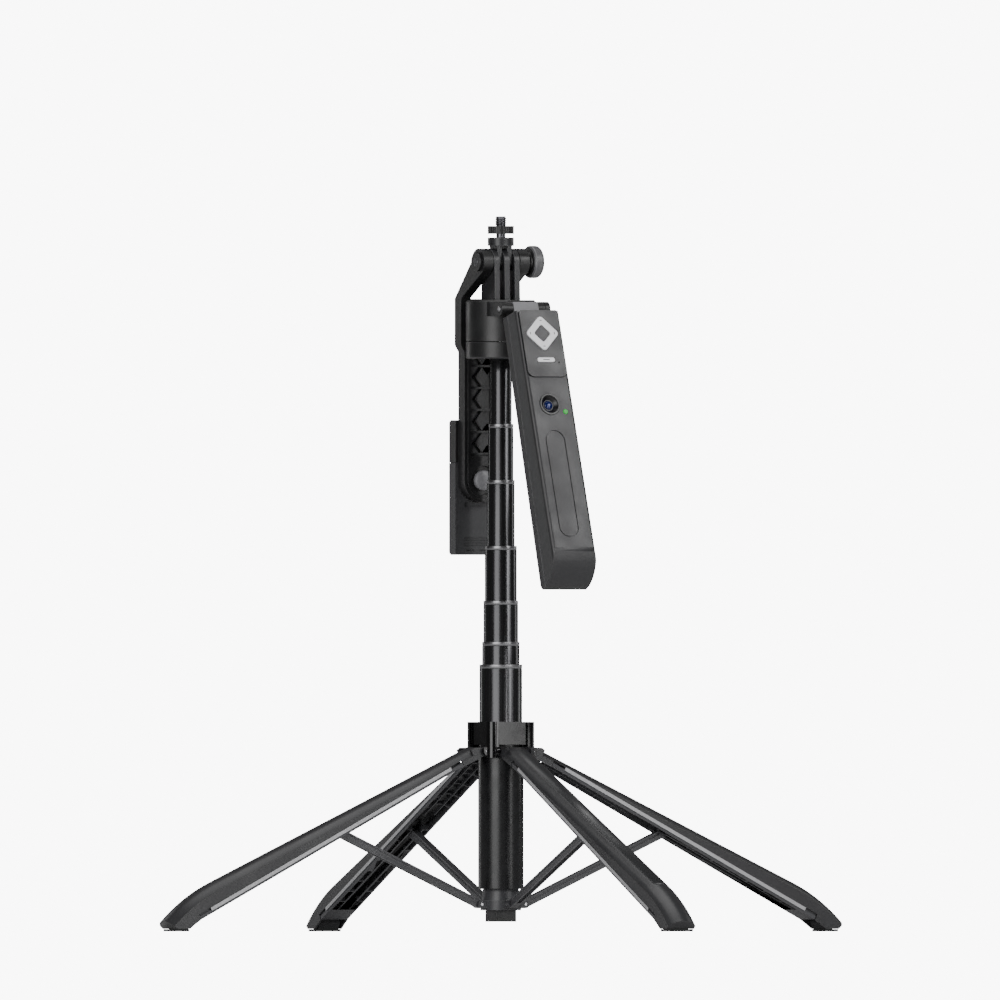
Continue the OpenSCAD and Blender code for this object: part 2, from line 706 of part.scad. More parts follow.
module lock_disc() {
    flutes = 30;
    flute_r = 0.45;
    color("#151516") translate([0, 0, disc_z + disc_t + lock_disc_lift]) difference() {
        cylinder(d = disc_d, h = lock_disc_t, $fn = fine);
        translate([0, 0, -1]) cylinder(d = stud_neck_d + 2 * run_clear, h = lock_disc_t + 2, $fn = fine);
        for (k = [0 : flutes - 1]) rotate([0, 0, 360 * k / flutes])
            translate([disc_d / 2 + 0.2, 0, -1]) cylinder(r = flute_r, h = lock_disc_t + 2, $fn = 16);
    }
}

module thumb_bolt() {
    color("#8f8f94") translate([0, 0, axle_z]) {
        x_rod(axle_d / 2, -yoke_half - nut_t, knob_x + 3);
        translate([yoke_half + 0.1, 0, 0]) rotate([0, 90, 0])
            cylinder(r1 = 4.6, r2 = 6.4, h = knob_x - yoke_half - 0.1, $fn = fine);
    }
}

module thumb_knob() {
    color("#4a4a4d") translate([knob_x, 0, axle_z]) rotate([0, 90, 0]) difference() {
        rotate_extrude($fn = 2 * fine) polygon(concat(
            [[0, 0], [knob_r - 1.6, 0], [knob_r, 1.2]],
            [for (a = [0 : 15 : 90]) [knob_r - 2 + 2 * cos(a), knob_t - 2 + 2 * sin(a)]],
            [[0, knob_t]]
        ));
        translate([0, 0, -1]) cylinder(d = axle_d + 2 * press, h = 4 + press, $fn = fine);
    }
}

module axle_nut() {
    color("#2c2c2e") translate([-yoke_half - nut_t, 0, axle_z]) rotate([0, 90, 0]) difference() {
        cylinder(r = 5.3, h = nut_t - 0.05, $fn = fine);
        translate([0, 0, -1]) cylinder(d = axle_d + 2 * run_clear, h = nut_t + 2, $fn = fine);
    }
}

// ---------------------------------------------------------------- phone arm
module arm_side() {
    back = arm_front_y + arm_t;
    circle(r = prong_r, $fn = fine);
    polygon([
        [-4.6, -5.9], [head_r - 0.2, -axle_h + 1.2], [arm_front_y, -axle_h - 1],
        [arm_front_y, -34], [back, -34], [back, -axle_h + 0.8], [prong_r - 0.1, 0.6], [3, 5]
    ]);
}

module arm() {
    ear_in = 1.5 * prong_t + prong_gap + 0.45;
    shoulder = 46.5;
    pitch = 12.3;
    cells = floor((arm_len - 60) / pitch);
    first = swivel_z + 21;
    back = arm_front_y + arm_t;
    pocket_half = 8;
    pocket_depth = 4.6;
    truss_drop = 2.2;
    bar_h = 1.2;
    line_r = 10.6;
    line_top = first + (cells - 0.5) * pitch - 2.5;
    color("#1e1e20") difference() {
        union() {
            translate([0, 0, axle_z]) x_slab(-yoke_half, yoke_half) arm_side();
            // bar with a round lower end, a little wider at the yoke
            translate([0, back, 0]) rotate([90, 0, 0]) linear_extrude(height = arm_t) {
                translate([0, swivel_z]) circle(r = arm_half, $fn = 2 * fine);
                translate([-arm_half, swivel_z]) square([2 * arm_half, axle_z - 33 - swivel_z]);
                polygon([
                    [-yoke_half, axle_z - 33], [-yoke_half, axle_z - shoulder], [-arm_half, axle_z - shoulder - 4],
                    [arm_half, axle_z - shoulder - 4], [yoke_half, axle_z - shoulder], [yoke_half, axle_z - 33]
                ]);
            }
        }
        // slot between the ears
        box([-ear_in, ear_in], [-far, far], [axle_z - axle_h + 0.6, axle_z + far]);
        box([-ear_in, ear_in], [-far, arm_front_y - 0.01], [axle_z - far, axle_z + far]);
        translate([0, 0, axle_z]) x_rod(axle_d / 2 + run_clear, -far, far);
        translate([0, 0, swivel_z]) y_rod(swivel_d / 2 + run_clear, 0, far);
        // open truss: a long pocket with a row of diamonds left standing in it
        difference() {
            box([-pocket_half, pocket_half], [arm_front_y - 1, arm_front_y + pocket_depth],
                [first - pitch / 2 - bar_h, first + (cells - 0.5) * pitch + bar_h]);
            translate([0, arm_front_y + pocket_depth + 1, 0]) rotate([90, 0, 0])
                linear_extrude(height = pocket_depth + 1 - truss_drop)
                    for (k = [0 : cells - 1]) translate([0, first + k * pitch]) {
                        polygon([[0, -pitch / 2 + 0.7], [4.3, 0], [0, pitch / 2 - 0.7], [-4.3, 0]]);
                        for (e = [-1, 1]) translate([-pocket_half - 1, (e * pitch - bar_h) / 2])
                            square([2 * pocket_half + 2, bar_h]);
                    }
        }
        // seat of the swivel screw's head, and the line that follows the bar's edge
        translate([0, 0, swivel_z]) y_rod(screw_seat_r, arm_front_y - 1, arm_front_y + screw_seat_h);
        translate([0, arm_front_y + 0.5, 0]) rotate([90, 0, 0]) linear_extrude(height = 1) difference() {
            link_shape([0, swivel_z], [0, line_top], line_r);
            link_shape([0, swivel_z], [0, line_top], line_r - 0.6);
        }
    }
}

module clamp_screw() {
    head_r = 5.6;
    dome = 1.6;
    seat_y = arm_front_y + screw_seat_h - 0.1;
    color("#3a3a3d") translate([0, 0, swivel_z]) rotate([-90, 0, 0]) rotate_extrude($fn = fine) polygon(concat(
        [[0, clamp_front_y + 2.2], [swivel_d / 2, clamp_front_y + 2.2], [swivel_d / 2, seat_y], [head_r, seat_y]],
        [for (a = [0 : 15 : 90]) [head_r * cos(a), arm_front_y - 0.4 - dome * sin(a)]]
    ));
}

module clamp_lip(z, up) {
    hook = 1.2;
    box([-lip_half, lip_half], [clamp_back_y - 0.5, clamp_back_y + lip_out], [z, z + lip_t]);
    box([-lip_half, lip_half], [clamp_back_y + lip_out - 1.6, clamp_back_y + lip_out],
        up ? [z, z + lip_t + hook] : [z - hook, z + lip_t]);
}

module clamp_plate(z0, z1) {
    translate([0, clamp_back_y, 0]) rotate([90, 0, 0]) linear_extrude(height = clamp_t) intersection() {
        translate([0, (clamp_bottom_z + clamp_top_z) / 2]) {
            square([2 * clamp_half, clamp_h - 4], center = true);
            square([2 * clamp_half - 4, clamp_h], center = true);
            for (x = [-1, 1], y = [-1, 1]) translate([x * (clamp_half - 2), y * (clamp_h / 2 - 2)])
                circle(r = 2, $fn = fine);
        }
        translate([-far, z0]) square([2 * far, z1 - z0]);
    }
}

// Four fine grooves across the clamp's face, from height z upward
module grip_grooves(z) {
    for (k = [0 : 3]) box([-8.4, 8.4], [clamp_front_y - 1, clamp_front_y + 0.5], [z + 1.4 * k, z + 1.4 * k + 0.6]);
}

module clamp_base() {
    color("#222224") difference() {
        union() {
            clamp_plate(clamp_bottom_z, clamp_split_z);
            clamp_lip(clamp_bottom_z, true);
        }
        // guide of the jaw's tongue, and the wells of the two springs
        box([-tongue_half - gap / 2, tongue_half + gap / 2], [tongue_y - gap / 2, tongue_y + tongue_t + gap / 2],
            [clamp_bottom_z + 8, clamp_split_z + 1]);
        for (s = [-1, 1]) translate([s * spring_x, tongue_y + tongue_t / 2, clamp_bottom_z + 6])
            cylinder(r = spring_r + 0.7, h = far, $fn = fine);
        translate([0, 0, swivel_z]) y_rod(swivel_d / 2 + press, clamp_front_y - 1, clamp_front_y + 2.3);
        // grip grooves and the two slots near the lower edge
        grip_grooves(clamp_bottom_z + 4.9);
        for (s = [-1, 1]) box([s * 4.2 - 2.3, s * 4.2 + 2.3], [clamp_front_y - 1, clamp_front_y + 0.8],
            [clamp_bottom_z + 2, clamp_bottom_z + 3]);
        // shallow window below the swivel
        box([-8, 8], [clamp_front_y - 1, clamp_front_y + 1.5], [swivel_z - 14.9, swivel_z - 12.1]);
        // rebate for the jaw's rear lip
        box([-clamp_half + 0.8, clamp_half - 0.8], [clamp_back_y - lap_t - gap / 2, clamp_back_y + 1],
            [clamp_split_z - lap_h - gap, clamp_split_z + 1]);
    }
}

module clamp_jaw() {
    color("#222224") difference() {
        union() {
            clamp_plate(clamp_split_z + 0.2, clamp_top_z);
            clamp_lip(clamp_top_z - lip_t, false);
            box([-tongue_half, tongue_half], [tongue_y, tongue_y + tongue_t],
                [clamp_bottom_z + 9, clamp_split_z + 1]);
            box([-clamp_half + 1, clamp_half - 1], [clamp_back_y - lap_t, clamp_back_y],
                [clamp_split_z - lap_h, clamp_split_z + 1]);
        }
        grip_grooves(clamp_top_z - 4.9 - 4.8);
    }
}

module clamp_springs() {
    bottom = clamp_bottom_z + 6.1;
    turns = 12;
    color("#c4c4c8") for (s = [-1, 1])
        translate([s * spring_x, tongue_y + tongue_t / 2, bottom])
            linear_extrude(height = clamp_split_z + 0.1 - bottom, twist = -360 * turns, slices = 10 * turns)
                translate([spring_r, 0]) circle(r = 0.4, $fn = 5);
}

module clamp_pad(z) {
    color("#47474a") box([-lip_half + 0.5, lip_half - 0.5], [clamp_back_y + 0.1, clamp_back_y + lip_out - 1.7],
        [z, z + pad_t]);
}

module clamp_pad_lower() { clamp_pad(clamp_bottom_z + lip_t + press); }
module clamp_pad_upper() { clamp_pad(clamp_top_z - lip_t - pad_t - press); }

// ---------------------------------------------------------------- remote bar
// Children are drawn hanging from the hinge: X across, -Y to the front, -Z down the bar
module in_bar() {
    translate([0, -bar_hinge_y, bar_hinge_z]) rotate([-bar_tilt_deg, 0, 0]) children();
}

// The same, with the origin on the bar's front face at its top edge and Z along that face
module in_face() {
    in_bar() translate([0, -bar_top_t, -bar_top_d]) rotate([-face_deg, 0, 0]) children();
}

// Side view of the bar, in Y and Z of in_bar: flat back and front, rounded lower end
module bar_side() {
    end_r = 21;
    end_z = -bar_len;
    nose_y = -bar_end_t - 0.1;
    intersection() {
        polygon([
            [0, -bar_top_d], [-bar_top_t, -bar_top_d], [nose_y - 0.9, -bar_len - 3], [0, -bar_len - 3]
        ]);
        union() {
            translate([-far, end_z + end_r]) square([2 * far, far + bar_len]);
            translate([nose_y + end_r, end_z + end_r]) circle(r = end_r, $fn = 2 * fine);
            translate([nose_y + end_r, end_z]) square([far, end_r + 1]);
        }
        union() {
            translate([-far, end_z + 4]) square([2 * far, far + bar_len]);
            translate([-4, end_z + 4]) circle(r = 4, $fn = fine);
            translate([-far, end_z]) square([far - 4, 5]);
        }
    }
}

// The bar's outer form: softened front edges along the face, small back edges
module bar_form(inset) {
    half = bar_w / 2 - inset;
    front_r = front_edge_r - inset;
    intersection() {
        in_bar() x_slab(-half, half) bar_side();
        in_face() translate([0, 0, -bar_len - 5]) linear_extrude(height = bar_len + 30) {
            translate([-half, -front_r + inset + 2 * front_r]) square([2 * half, 40]);
            translate([-half + front_r, inset]) square([2 * (half - front_r), 10]);
            for (s = [-1, 1]) translate([s * (half - front_r), inset + front_r]) circle(r = front_r, $fn = fine);
        }
    }
}

module bar_slice(f0, f1) {
    in_bar() box([-far, far], [-f1, -f0], [-bar_len - 10, 20]);
}

module remote_outline(clear) {
    half = remote_w / 2 + clear;
    low_r = remote_low_r + clear;
    top_r = remote_top_r + clear;
    translate([-half, -remote_len - clear + low_r])
        square([2 * half, remote_len + 2 * clear - low_r - top_r]);
    translate([-half + low_r, -remote_len - clear]) square([2 * (half - low_r), low_r + 1]);
    translate([-half + top_r, clear - top_r - 1]) square([2 * (half - top_r), top_r + 1]);
    for (s = [-1, 1]) {
        translate([s * (half - low_r), -remote_len - clear + low_r]) circle(r = low_r, $fn = fine);
        translate([s * (half - top_r), clear - top_r]) circle(r = top_r, $fn = fine);
    }
}

// An outline in X and Z of the face, extruded from depth q0 to q1, outward positive
module on_face(q0, q1) {
    in_face() translate([0, -q0, 0]) rotate([90, 0, 0]) linear_extrude(height = q1 - q0) children();
}

module handle_front() {
    color("#39393b") difference() {
        intersection() {
            bar_form(0);
            bar_slice(seam_f + 0.08, far);
        }
        // inside of the shell below the remote
        intersection() {
            bar_form(shell_t);
            bar_slice(seam_f - 1, far);
            on_face(-far, -shell_t) translate([-far, -bar_len + hollow_end])
                square([2 * far, bar_len - hollow_end - remote_len - 3]);
        }
        on_face(-remote_t - 0.1, 5) {
            remote_outline(remote_clear);
            translate([-remote_w / 2 - remote_clear, -3]) square([remote_w + 2 * remote_clear, far]);
        }
        on_face(-6, 1) translate([grip_x, -lens_p]) circle(r = lens_r + press, $fn = fine);
        on_face(-6, 1) translate([led_x, -led_p]) circle(r = led_r + press, $fn = fine);
        // outline groove of the grip
        on_face(-0.5, 1) difference() {
            link_shape([grip_x, -groove_top_p - groove_r], [grip_x, -groove_end_p + groove_r], groove_r);
            link_shape([grip_x, -groove_top_p - groove_r], [grip_x, -groove_end_p + groove_r], groove_r - 0.6);
        }
    }
}

module handle_back() {
    color("#303032") difference() {
        intersection() {
            bar_form(0);
            bar_slice(-1, seam_f - 0.08);
        }
        intersection() {
            bar_form(shell_t);
            bar_slice(shell_t, far);
            in_bar() box([-far, far], [-far, 0], [-bar_len + 8, -bar_top_d - 8]);
        }
        in_bar() box([-block_half - press, block_half + press], [-seam_f, 1], [-bar_top_d - 3, 0]);
    }
}

module hinge_block() {
    barrel_r = 3.7;
    color("#8a8a8d") in_bar() difference() {
        union() {
            x_rod(barrel_r, -hinge_ear_in + gap / 2, hinge_ear_in - gap / 2);
            x_slab(-block_half, block_half) polygon([
                [-barrel_r, 3], [-barrel_r - 0.6, -bar_top_d - 2.8], [-0.1, -bar_top_d - 2.8],
                [0.4, -bar_top_d], [barrel_r - 0.6, 0], [1.5, 3.4]
            ]);
        }
        x_rod(hinge_pin_d / 2 + run_clear, -far, far);
    }
}

module hinge_pin() {
    reach = hinge_ear_in + hinge_ear_t + 0.2;
    color("#d8d8dc") translate([0, -bar_hinge_y, bar_hinge_z]) x_rod(hinge_pin_d / 2, -reach, reach);
}

module diamond(half, r) {
    link = half - r * sqrt(2);
    for (a = [0 : 90 : 270]) rotate(a) translate([link, 0]) circle(r = r, $fn = fine);
    rotate(45) square([2 * link / sqrt(2) + 2 * r, 2 * link / sqrt(2)], center = true);
    rotate(45) square([2 * link / sqrt(2), 2 * link / sqrt(2) + 2 * r], center = true);
}

module remote_body() {
    wall = 1.2;
    color("#2c2c2e") difference() {
        on_face(-remote_t, remote_rise) remote_outline(0);
        // room for the board and the cell
        on_face(-remote_t + wall, -1.6) difference() {
            translate([-remote_w / 2 + wall, -remote_len + 4]) square([remote_w - 2 * wall, remote_len - 4 - wall]);
        }
        on_face(-2, 5) translate([0, -pad_p]) diamond(pad_half + 0.15, 2.5);
        on_face(-2, 5) translate([0, -pill_p]) link_shape([-pill_w / 2 + pill_h / 2, 0],
            [pill_w / 2 - pill_h / 2, 0], pill_h / 2 + 0.15);
        on_face(remote_rise - 0.6, 5) translate([8, -pill_p - 1.6]) circle(r = 0.5, $fn = 24);
    }
}

module remote_board() {
    color("#2f5d3a") on_face(-4, -3) translate([-remote_w / 2 + 1.6, -remote_len + 4.4])
        square([remote_w - 3.2, remote_len - 6.4]);
}

module remote_cell() {
    color("#c9c9cc") on_face(-remote_t + 1.3, -4.1) translate([0, -20]) circle(r = 8, $fn = fine);
}

module dpad_ring() {
    color("#b5b5b7") difference() {
        on_face(-1.6 + key_gap, remote_rise + key_rise) translate([0, -pad_p]) diamond(pad_half, 2.4);
        on_face(-5, 5) translate([0, -pad_p]) diamond(pad_hole, 1.2);
    }
}

module center_key() {
    color("#3b3b3d") on_face(-1.6 + key_gap, remote_rise + key_rise - 0.2)
        translate([0, -pad_p]) diamond(pad_hole - 0.2, 1.1);
}

module shutter_key() {
    color("#c4c4c6") on_face(-1.6 + key_gap, remote_rise + key_rise - 0.1) translate([0, -pill_p])
        link_shape([-pill_w / 2 + pill_h / 2, 0], [pill_w / 2 - pill_h / 2, 0], pill_h / 2);
}

module lens_bezel() {
    color("#161617") on_face(-5.9, 0.5) translate([grip_x, -lens_p]) difference() {
        circle(r = lens_r, $fn = fine);
        circle(r = lens_r - 1.4, $fn = fine);
    }
}

module lens_glass() {
    color("#27405f") on_face(-4, 0.1) translate([grip_x, -lens_p]) circle(r = lens_r - 1.4 - press, $fn = fine);
}

module status_led() {
    color("#33dd66") on_face(-4, 0.4) translate([led_x, -led_p]) circle(r = led_r, $fn = fine);
}

for (i = [0 : 3]) {
    leg_shell(i);
    leg_rail(i);
    foot_pad(i);
    strut(i);
}
for (i = [1 : TUBE_COUNT])
    mast_tube(i);
hub_collar();
center_post();
spider();
base_plug();
pivot_pins();
head_ring();
pan_bolt();
head_body();
hinge_pin();
camera_fork();
camera_adapter();
stud_screw();
lock_disc();
thumb_bolt();
thumb_knob();
axle_nut();
arm();
clamp_screw();
clamp_base();
clamp_jaw();
clamp_springs();
clamp_pad_lower();
clamp_pad_upper();
handle_front();
handle_back();
hinge_block();
lens_bezel();
lens_glass();
status_led();
remote_body();
remote_board();
remote_cell();
dpad_ring();
center_key();
shutter_key();
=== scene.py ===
"""The looks of a tabletop selfie stick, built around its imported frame.

The stick is a folding four-leg base, a telescopic mast, a panning head with a camera fork, a phone arm
with a spring clamp, and a remote-control bar. Every length below is in millimetres unless it says metres.
"""

import enum
import json
import logging
import math
from dataclasses import dataclass, field
from typing import Callable, Iterable, Sequence

import bmesh
import bpy
from mathutils import Matrix, Vector


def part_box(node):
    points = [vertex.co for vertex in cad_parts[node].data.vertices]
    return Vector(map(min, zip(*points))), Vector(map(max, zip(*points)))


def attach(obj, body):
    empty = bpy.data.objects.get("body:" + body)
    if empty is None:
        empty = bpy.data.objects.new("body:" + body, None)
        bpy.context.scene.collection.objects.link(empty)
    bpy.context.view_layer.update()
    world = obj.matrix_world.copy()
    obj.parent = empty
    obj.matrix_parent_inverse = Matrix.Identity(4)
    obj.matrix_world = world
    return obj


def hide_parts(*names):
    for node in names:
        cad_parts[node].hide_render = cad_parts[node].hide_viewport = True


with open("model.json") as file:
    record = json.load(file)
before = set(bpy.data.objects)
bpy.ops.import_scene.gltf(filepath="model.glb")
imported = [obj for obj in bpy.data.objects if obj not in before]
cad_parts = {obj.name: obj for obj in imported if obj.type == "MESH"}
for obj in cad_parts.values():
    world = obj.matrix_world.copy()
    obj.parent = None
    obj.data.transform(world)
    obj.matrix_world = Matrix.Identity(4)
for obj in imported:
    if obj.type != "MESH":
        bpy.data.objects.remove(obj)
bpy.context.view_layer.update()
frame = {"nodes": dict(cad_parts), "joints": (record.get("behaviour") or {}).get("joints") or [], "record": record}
MM = 0.001
LOG = logging.getLogger("selfie_stick")
SIDES = ("right", "back", "left", "front")
Point = tuple[float, float, float]


# ------------------------------------------------------------------ colour and nodes
def linear(hex_colour: str, alpha: float = 1.0) -> tuple[float, float, float, float]:
    """Turns an sRGB hex colour into Blender's linear colour.

    Args:
        hex_colour: six hex digits after a hash.
        alpha: opacity from 0 to 1.

    Returns:
        Linear red, green, blue and alpha.
    """
    parts = [int(hex_colour[i : i + 2], 16) / 255 for i in (1, 3, 5)]
    low = [p / 12.92 if p <= 0.04045 else ((p + 0.055) / 1.055) ** 2.4 for p in parts]
    return (low[0], low[1], low[2], alpha)


def add_node(tree: bpy.types.NodeTree, kind: str, settings: dict | None = None, links: dict | None = None):
    """Adds one shader node.

    Args:
        tree: the node tree.
        kind: the node's type name.
        settings: values for its input sockets, or for its properties where no socket has that name.
        links: output sockets to join to its inputs, by input name or number.

    Returns:
        The new node.
    """
    node = tree.nodes.new(kind)
    for key, value in (settings or {}).items():
        if isinstance(key, int) or key in node.inputs:
            node.inputs[key].default_value = value
        else:
            setattr(node, key, value)
    for key, socket in (links or {}).items():
        tree.links.new(socket, node.inputs[key])
    return node


def pattern_scale(size_mm: float) -> float:
    """The noise scale that gives features of a real size in millimetres."""
    return 1.0 / (size_mm * MM)


MIX_A, MIX_B, MIX_OUT = 6, 7, 2  # colour sockets of the Mix node
FLAT_DEG = 0.05  # faces that meet at less than this are one flat face
WELD_MM = 0.002  # corners closer than this are one corner
ON_AXIS = 1e-7  # a radius in metres under this is a point on the axis
NOISE_LOW, NOISE_HIGH = 0.3, 0.7  # the span that nearly all of a noise pattern's values fall in
# rounded faces are painted paler with this mark: partly edge wear, partly a painted edge highlight
EDGE_WEAR_AND_SHEEN = "edge_wear_and_sheen"  # face value that is 1 where a softened edge is rounded


# ------------------------------------------------------------------ finishes
@dataclass(frozen=True)
class Finish:
    """What every finish has: a name, a colour and the way it takes light."""

    name: str
    colour: str
    roughness: float = 0.45
    metallic: float = 0.0
    ior: float = 1.5

    def material(self) -> bpy.types.Material:
        """Builds the material once and returns it each time after."""
        found = bpy.data.materials.get(self.name)
        if found:
            return found
        made = bpy.data.materials.new(self.name)
        made.use_nodes = True
        tree = made.node_tree
        tree.nodes.clear()
        shader = add_node(tree, "ShaderNodeBsdfPrincipled", {
            "Base Color": linear(self.colour), "Roughness": self.roughness, "Metallic": self.metallic,
        })
        if not self.metallic:
            shader.inputs["IOR"].default_value = self.ior
        add_node(tree, "ShaderNodeOutputMaterial", links={"Surface": shader.outputs["BSDF"]})
        self.detail(tree, shader)
        return made

    def detail(self, tree: bpy.types.NodeTree, shader: bpy.types.Node) -> None:
        """Adds what is special to the finish. A plain finish adds nothing."""

    def tone(self, tree: bpy.types.NodeTree, shader: bpy.types.Node, factor: bpy.types.NodeSocket,
             light: str) -> None:
        """Varies the base colour between the finish's colour and a lighter one.

        Args:
            tree: the node tree.
            shader: the principled shader.
            factor: socket that says how much of the lighter colour shows.
            light: the lighter colour as a hex value.
        """
        mix = add_node(tree, "ShaderNodeMix", {
            "data_type": "RGBA", MIX_A: linear(self.colour), MIX_B: linear(light),
        }, {"Factor": factor})
        tree.links.new(mix.outputs[MIX_OUT], shader.inputs["Base Color"])

    def spread(self, tree: bpy.types.NodeTree, shader: bpy.types.Node, socket: bpy.types.NodeSocket,
               low: float, high: float) -> None:
        """Lets the roughness run from low to high over the usual span of a noise pattern.

        Args:
            tree: the node tree.
            shader: the principled shader.
            socket: the pattern's output.
            low: roughness where the pattern is low.
            high: roughness where it is high.
        """
        ranged = add_node(tree, "ShaderNodeMapRange", {
            "From Min": NOISE_LOW, "From Max": NOISE_HIGH, "To Min": low, "To Max": high,
        }, {"Value": socket})
        tree.links.new(ranged.outputs["Result"], shader.inputs["Roughness"])


@dataclass(frozen=True)
class MouldedPlastic(Finish):
    """ABS or nylon from a spark-eroded steel mould: an even fine grain, and rounded edges painted paler, partly as
    wear and partly as a painted edge highlight.
    """

    light: str = "#505052"
    grain_mm: float = 0.5
    grain_depth: float = 0.15
    grain_rise: float = 0.3
    cloud_mm: float = 14.0
    # colour painted on rounded edges: partly wear, partly a painted edge highlight
    edge: str = "#6a6a6c"
    edge_share: float = 0.8

    def detail(self, tree: bpy.types.NodeTree, shader: bpy.types.Node) -> None:
        """Adds the mould's grain, slow changes of tone and roughness, and paler rounded edges: partly wear, partly
        a painted highlight.
        """
        place = add_node(tree, "ShaderNodeTexCoord").outputs["Object"]
        cloud = add_node(tree, "ShaderNodeTexNoise", {"Scale": pattern_scale(self.cloud_mm), "Detail": 3.0},
                         {"Vector": place})
        tone = add_node(tree, "ShaderNodeMix", {
            "data_type": "RGBA", MIX_A: linear(self.colour), MIX_B: linear(self.light),
        }, {"Factor": cloud.outputs["Fac"]})
        # paler rounded edges: partly wear, partly a painted highlight
        rounded = add_node(tree, "ShaderNodeAttribute", {"attribute_name": EDGE_WEAR_AND_SHEEN})
        edge_wear_and_sheen_share = add_node(tree, "ShaderNodeMath", {"operation": "MULTIPLY", 1: self.edge_share},
                       {0: rounded.outputs["Fac"]})
        patchy_wear_and_sheen = add_node(tree, "ShaderNodeMath", {"operation": "MULTIPLY"},
                          {0: edge_wear_and_sheen_share.outputs["Value"], 1: cloud.outputs["Fac"]})
        edge_wear_and_sheen_colour = add_node(tree, "ShaderNodeMix", {"data_type": "RGBA", MIX_B: linear(self.edge)},
                        {"Factor": patchy_wear_and_sheen.outputs["Value"], MIX_A: tone.outputs[MIX_OUT]})
        tree.links.new(edge_wear_and_sheen_colour.outputs[MIX_OUT], shader.inputs["Base Color"])
        self.spread(tree, shader, cloud.outputs["Fac"], self.roughness - 0.05, self.roughness + 0.06)
        grain = add_node(tree, "ShaderNodeTexNoise", {"Scale": pattern_scale(self.grain_mm), "Detail": 2.0},
                         {"Vector": place})
        bump = add_node(tree, "ShaderNodeBump", {
            "Strength": self.grain_depth, "Distance": self.grain_mm * MM * self.grain_rise,
        }, {"Height": grain.outputs["Fac"]})
        tree.links.new(bump.outputs["Normal"], shader.inputs["Normal"])


@dataclass(frozen=True)
class GlossPlastic(Finish):
    """A polished or lacquered face: mirror-like, with a slow ripple in its reflections and faint smudges."""

    ripple_mm: float = 9.0
    ripple_depth: float = 0.05
    ripple_rise_mm: float = 0.1
    smudge_mm: float = 6.0
    smudge_dulls: float = 0.08
    light: str = "#1a1a1b"

    def detail(self, tree: bpy.types.NodeTree, shader: bpy.types.Node) -> None:
        """Adds the ripple, and smudges that dull the gloss here and there."""
        place = add_node(tree, "ShaderNodeTexCoord").outputs["Object"]
        smudge = add_node(tree, "ShaderNodeTexNoise", {"Scale": pattern_scale(self.smudge_mm), "Detail": 4.0},
                          {"Vector": place})
        self.tone(tree, shader, smudge.outputs["Fac"], self.light)
        self.spread(tree, shader, smudge.outputs["Fac"], self.roughness, self.roughness + self.smudge_dulls)
        ripple = add_node(tree, "ShaderNodeTexNoise", {"Scale": pattern_scale(self.ripple_mm), "Detail": 1.0},
                          {"Vector": place})
        bump = add_node(tree, "ShaderNodeBump", {
            "Strength": self.ripple_depth, "Distance": self.ripple_rise_mm * MM,
        }, {"Height": ripple.outputs["Fac"]})
        tree.links.new(bump.outputs["Normal"], shader.inputs["Normal"])


@dataclass(frozen=True)
class DrawnTube(Finish):
    """Anodised aluminium drawn through a die: a dark metal film with lines along the tube.

    The real lines are finer than 0.1 mm. They are drawn coarser so that they show.
    """

    line_mm: float = 0.6
    stretch: float = 60.0
    light: str = "#4a4a4c"
    line_depth: float = 0.02
    line_rise_mm: float = 0.05

    def detail(self, tree: bpy.types.NodeTree, shader: bpy.types.Node) -> None:
        """Adds the draw lines, as noise stretched along the mast, to colour, gloss and bump."""
        place = add_node(tree, "ShaderNodeTexCoord").outputs["Object"]
        mapped = add_node(tree, "ShaderNodeMapping", {"Scale": (1.0, 1.0, 1.0 / self.stretch)},
                          {"Vector": place})
        lines = add_node(tree, "ShaderNodeTexNoise", {"Scale": pattern_scale(self.line_mm), "Detail": 3.0},
                         {"Vector": mapped.outputs["Vector"]})
        self.tone(tree, shader, lines.outputs["Fac"], self.light)
        self.spread(tree, shader, lines.outputs["Fac"], self.roughness - 0.04, self.roughness + 0.07)
        bump = add_node(tree, "ShaderNodeBump", {
            "Strength": self.line_depth, "Distance": self.line_rise_mm * MM,
        }, {"Height": lines.outputs["Fac"]})
        tree.links.new(bump.outputs["Normal"], shader.inputs["Normal"])


@dataclass(frozen=True)
class PlatedSteel(Finish):
    """Plated steel or a metallic paint: clean, with slight cloudiness in the tone and the gloss."""

    light: str = "#e2e2e4"
    cloud_mm: float = 1.5

    def detail(self, tree: bpy.types.NodeTree, shader: bpy.types.Node) -> None:
        """Adds cloudiness to the tone and the gloss."""
        place = add_node(tree, "ShaderNodeTexCoord").outputs["Object"]
        cloud = add_node(tree, "ShaderNodeTexNoise", {"Scale": pattern_scale(self.cloud_mm), "Detail": 3.0},
                         {"Vector": place})
        self.tone(tree, shader, cloud.outputs["Fac"], self.light)
        self.spread(tree, shader, cloud.outputs["Fac"], self.roughness - 0.05, self.roughness + 0.1)


@dataclass(frozen=True)
class CastRubber(Finish):
    """Compression-moulded rubber: dull, with fine pits and pale dust in its grain."""

    light: str = "#38383a"
    pit_mm: float = 0.7
    pit_depth: float = 0.35
    pit_rise_mm: float = 0.1

    def detail(self, tree: bpy.types.NodeTree, shader: bpy.types.Node) -> None:
        """Adds pits and dust."""
        place = add_node(tree, "ShaderNodeTexCoord").outputs["Object"]
        pits = add_node(tree, "ShaderNodeTexNoise", {"Scale": pattern_scale(self.pit_mm), "Detail": 4.0},
                        {"Vector": place})
        self.tone(tree, shader, pits.outputs["Fac"], self.light)
        self.spread(tree, shader, pits.outputs["Fac"], self.roughness - 0.08, self.roughness + 0.05)
        bump = add_node(tree, "ShaderNodeBump", {
            "Strength": self.pit_depth, "Distance": self.pit_rise_mm * MM,
        }, {"Height": pits.outputs["Fac"]})
        tree.links.new(bump.outputs["Normal"], shader.inputs["Normal"])


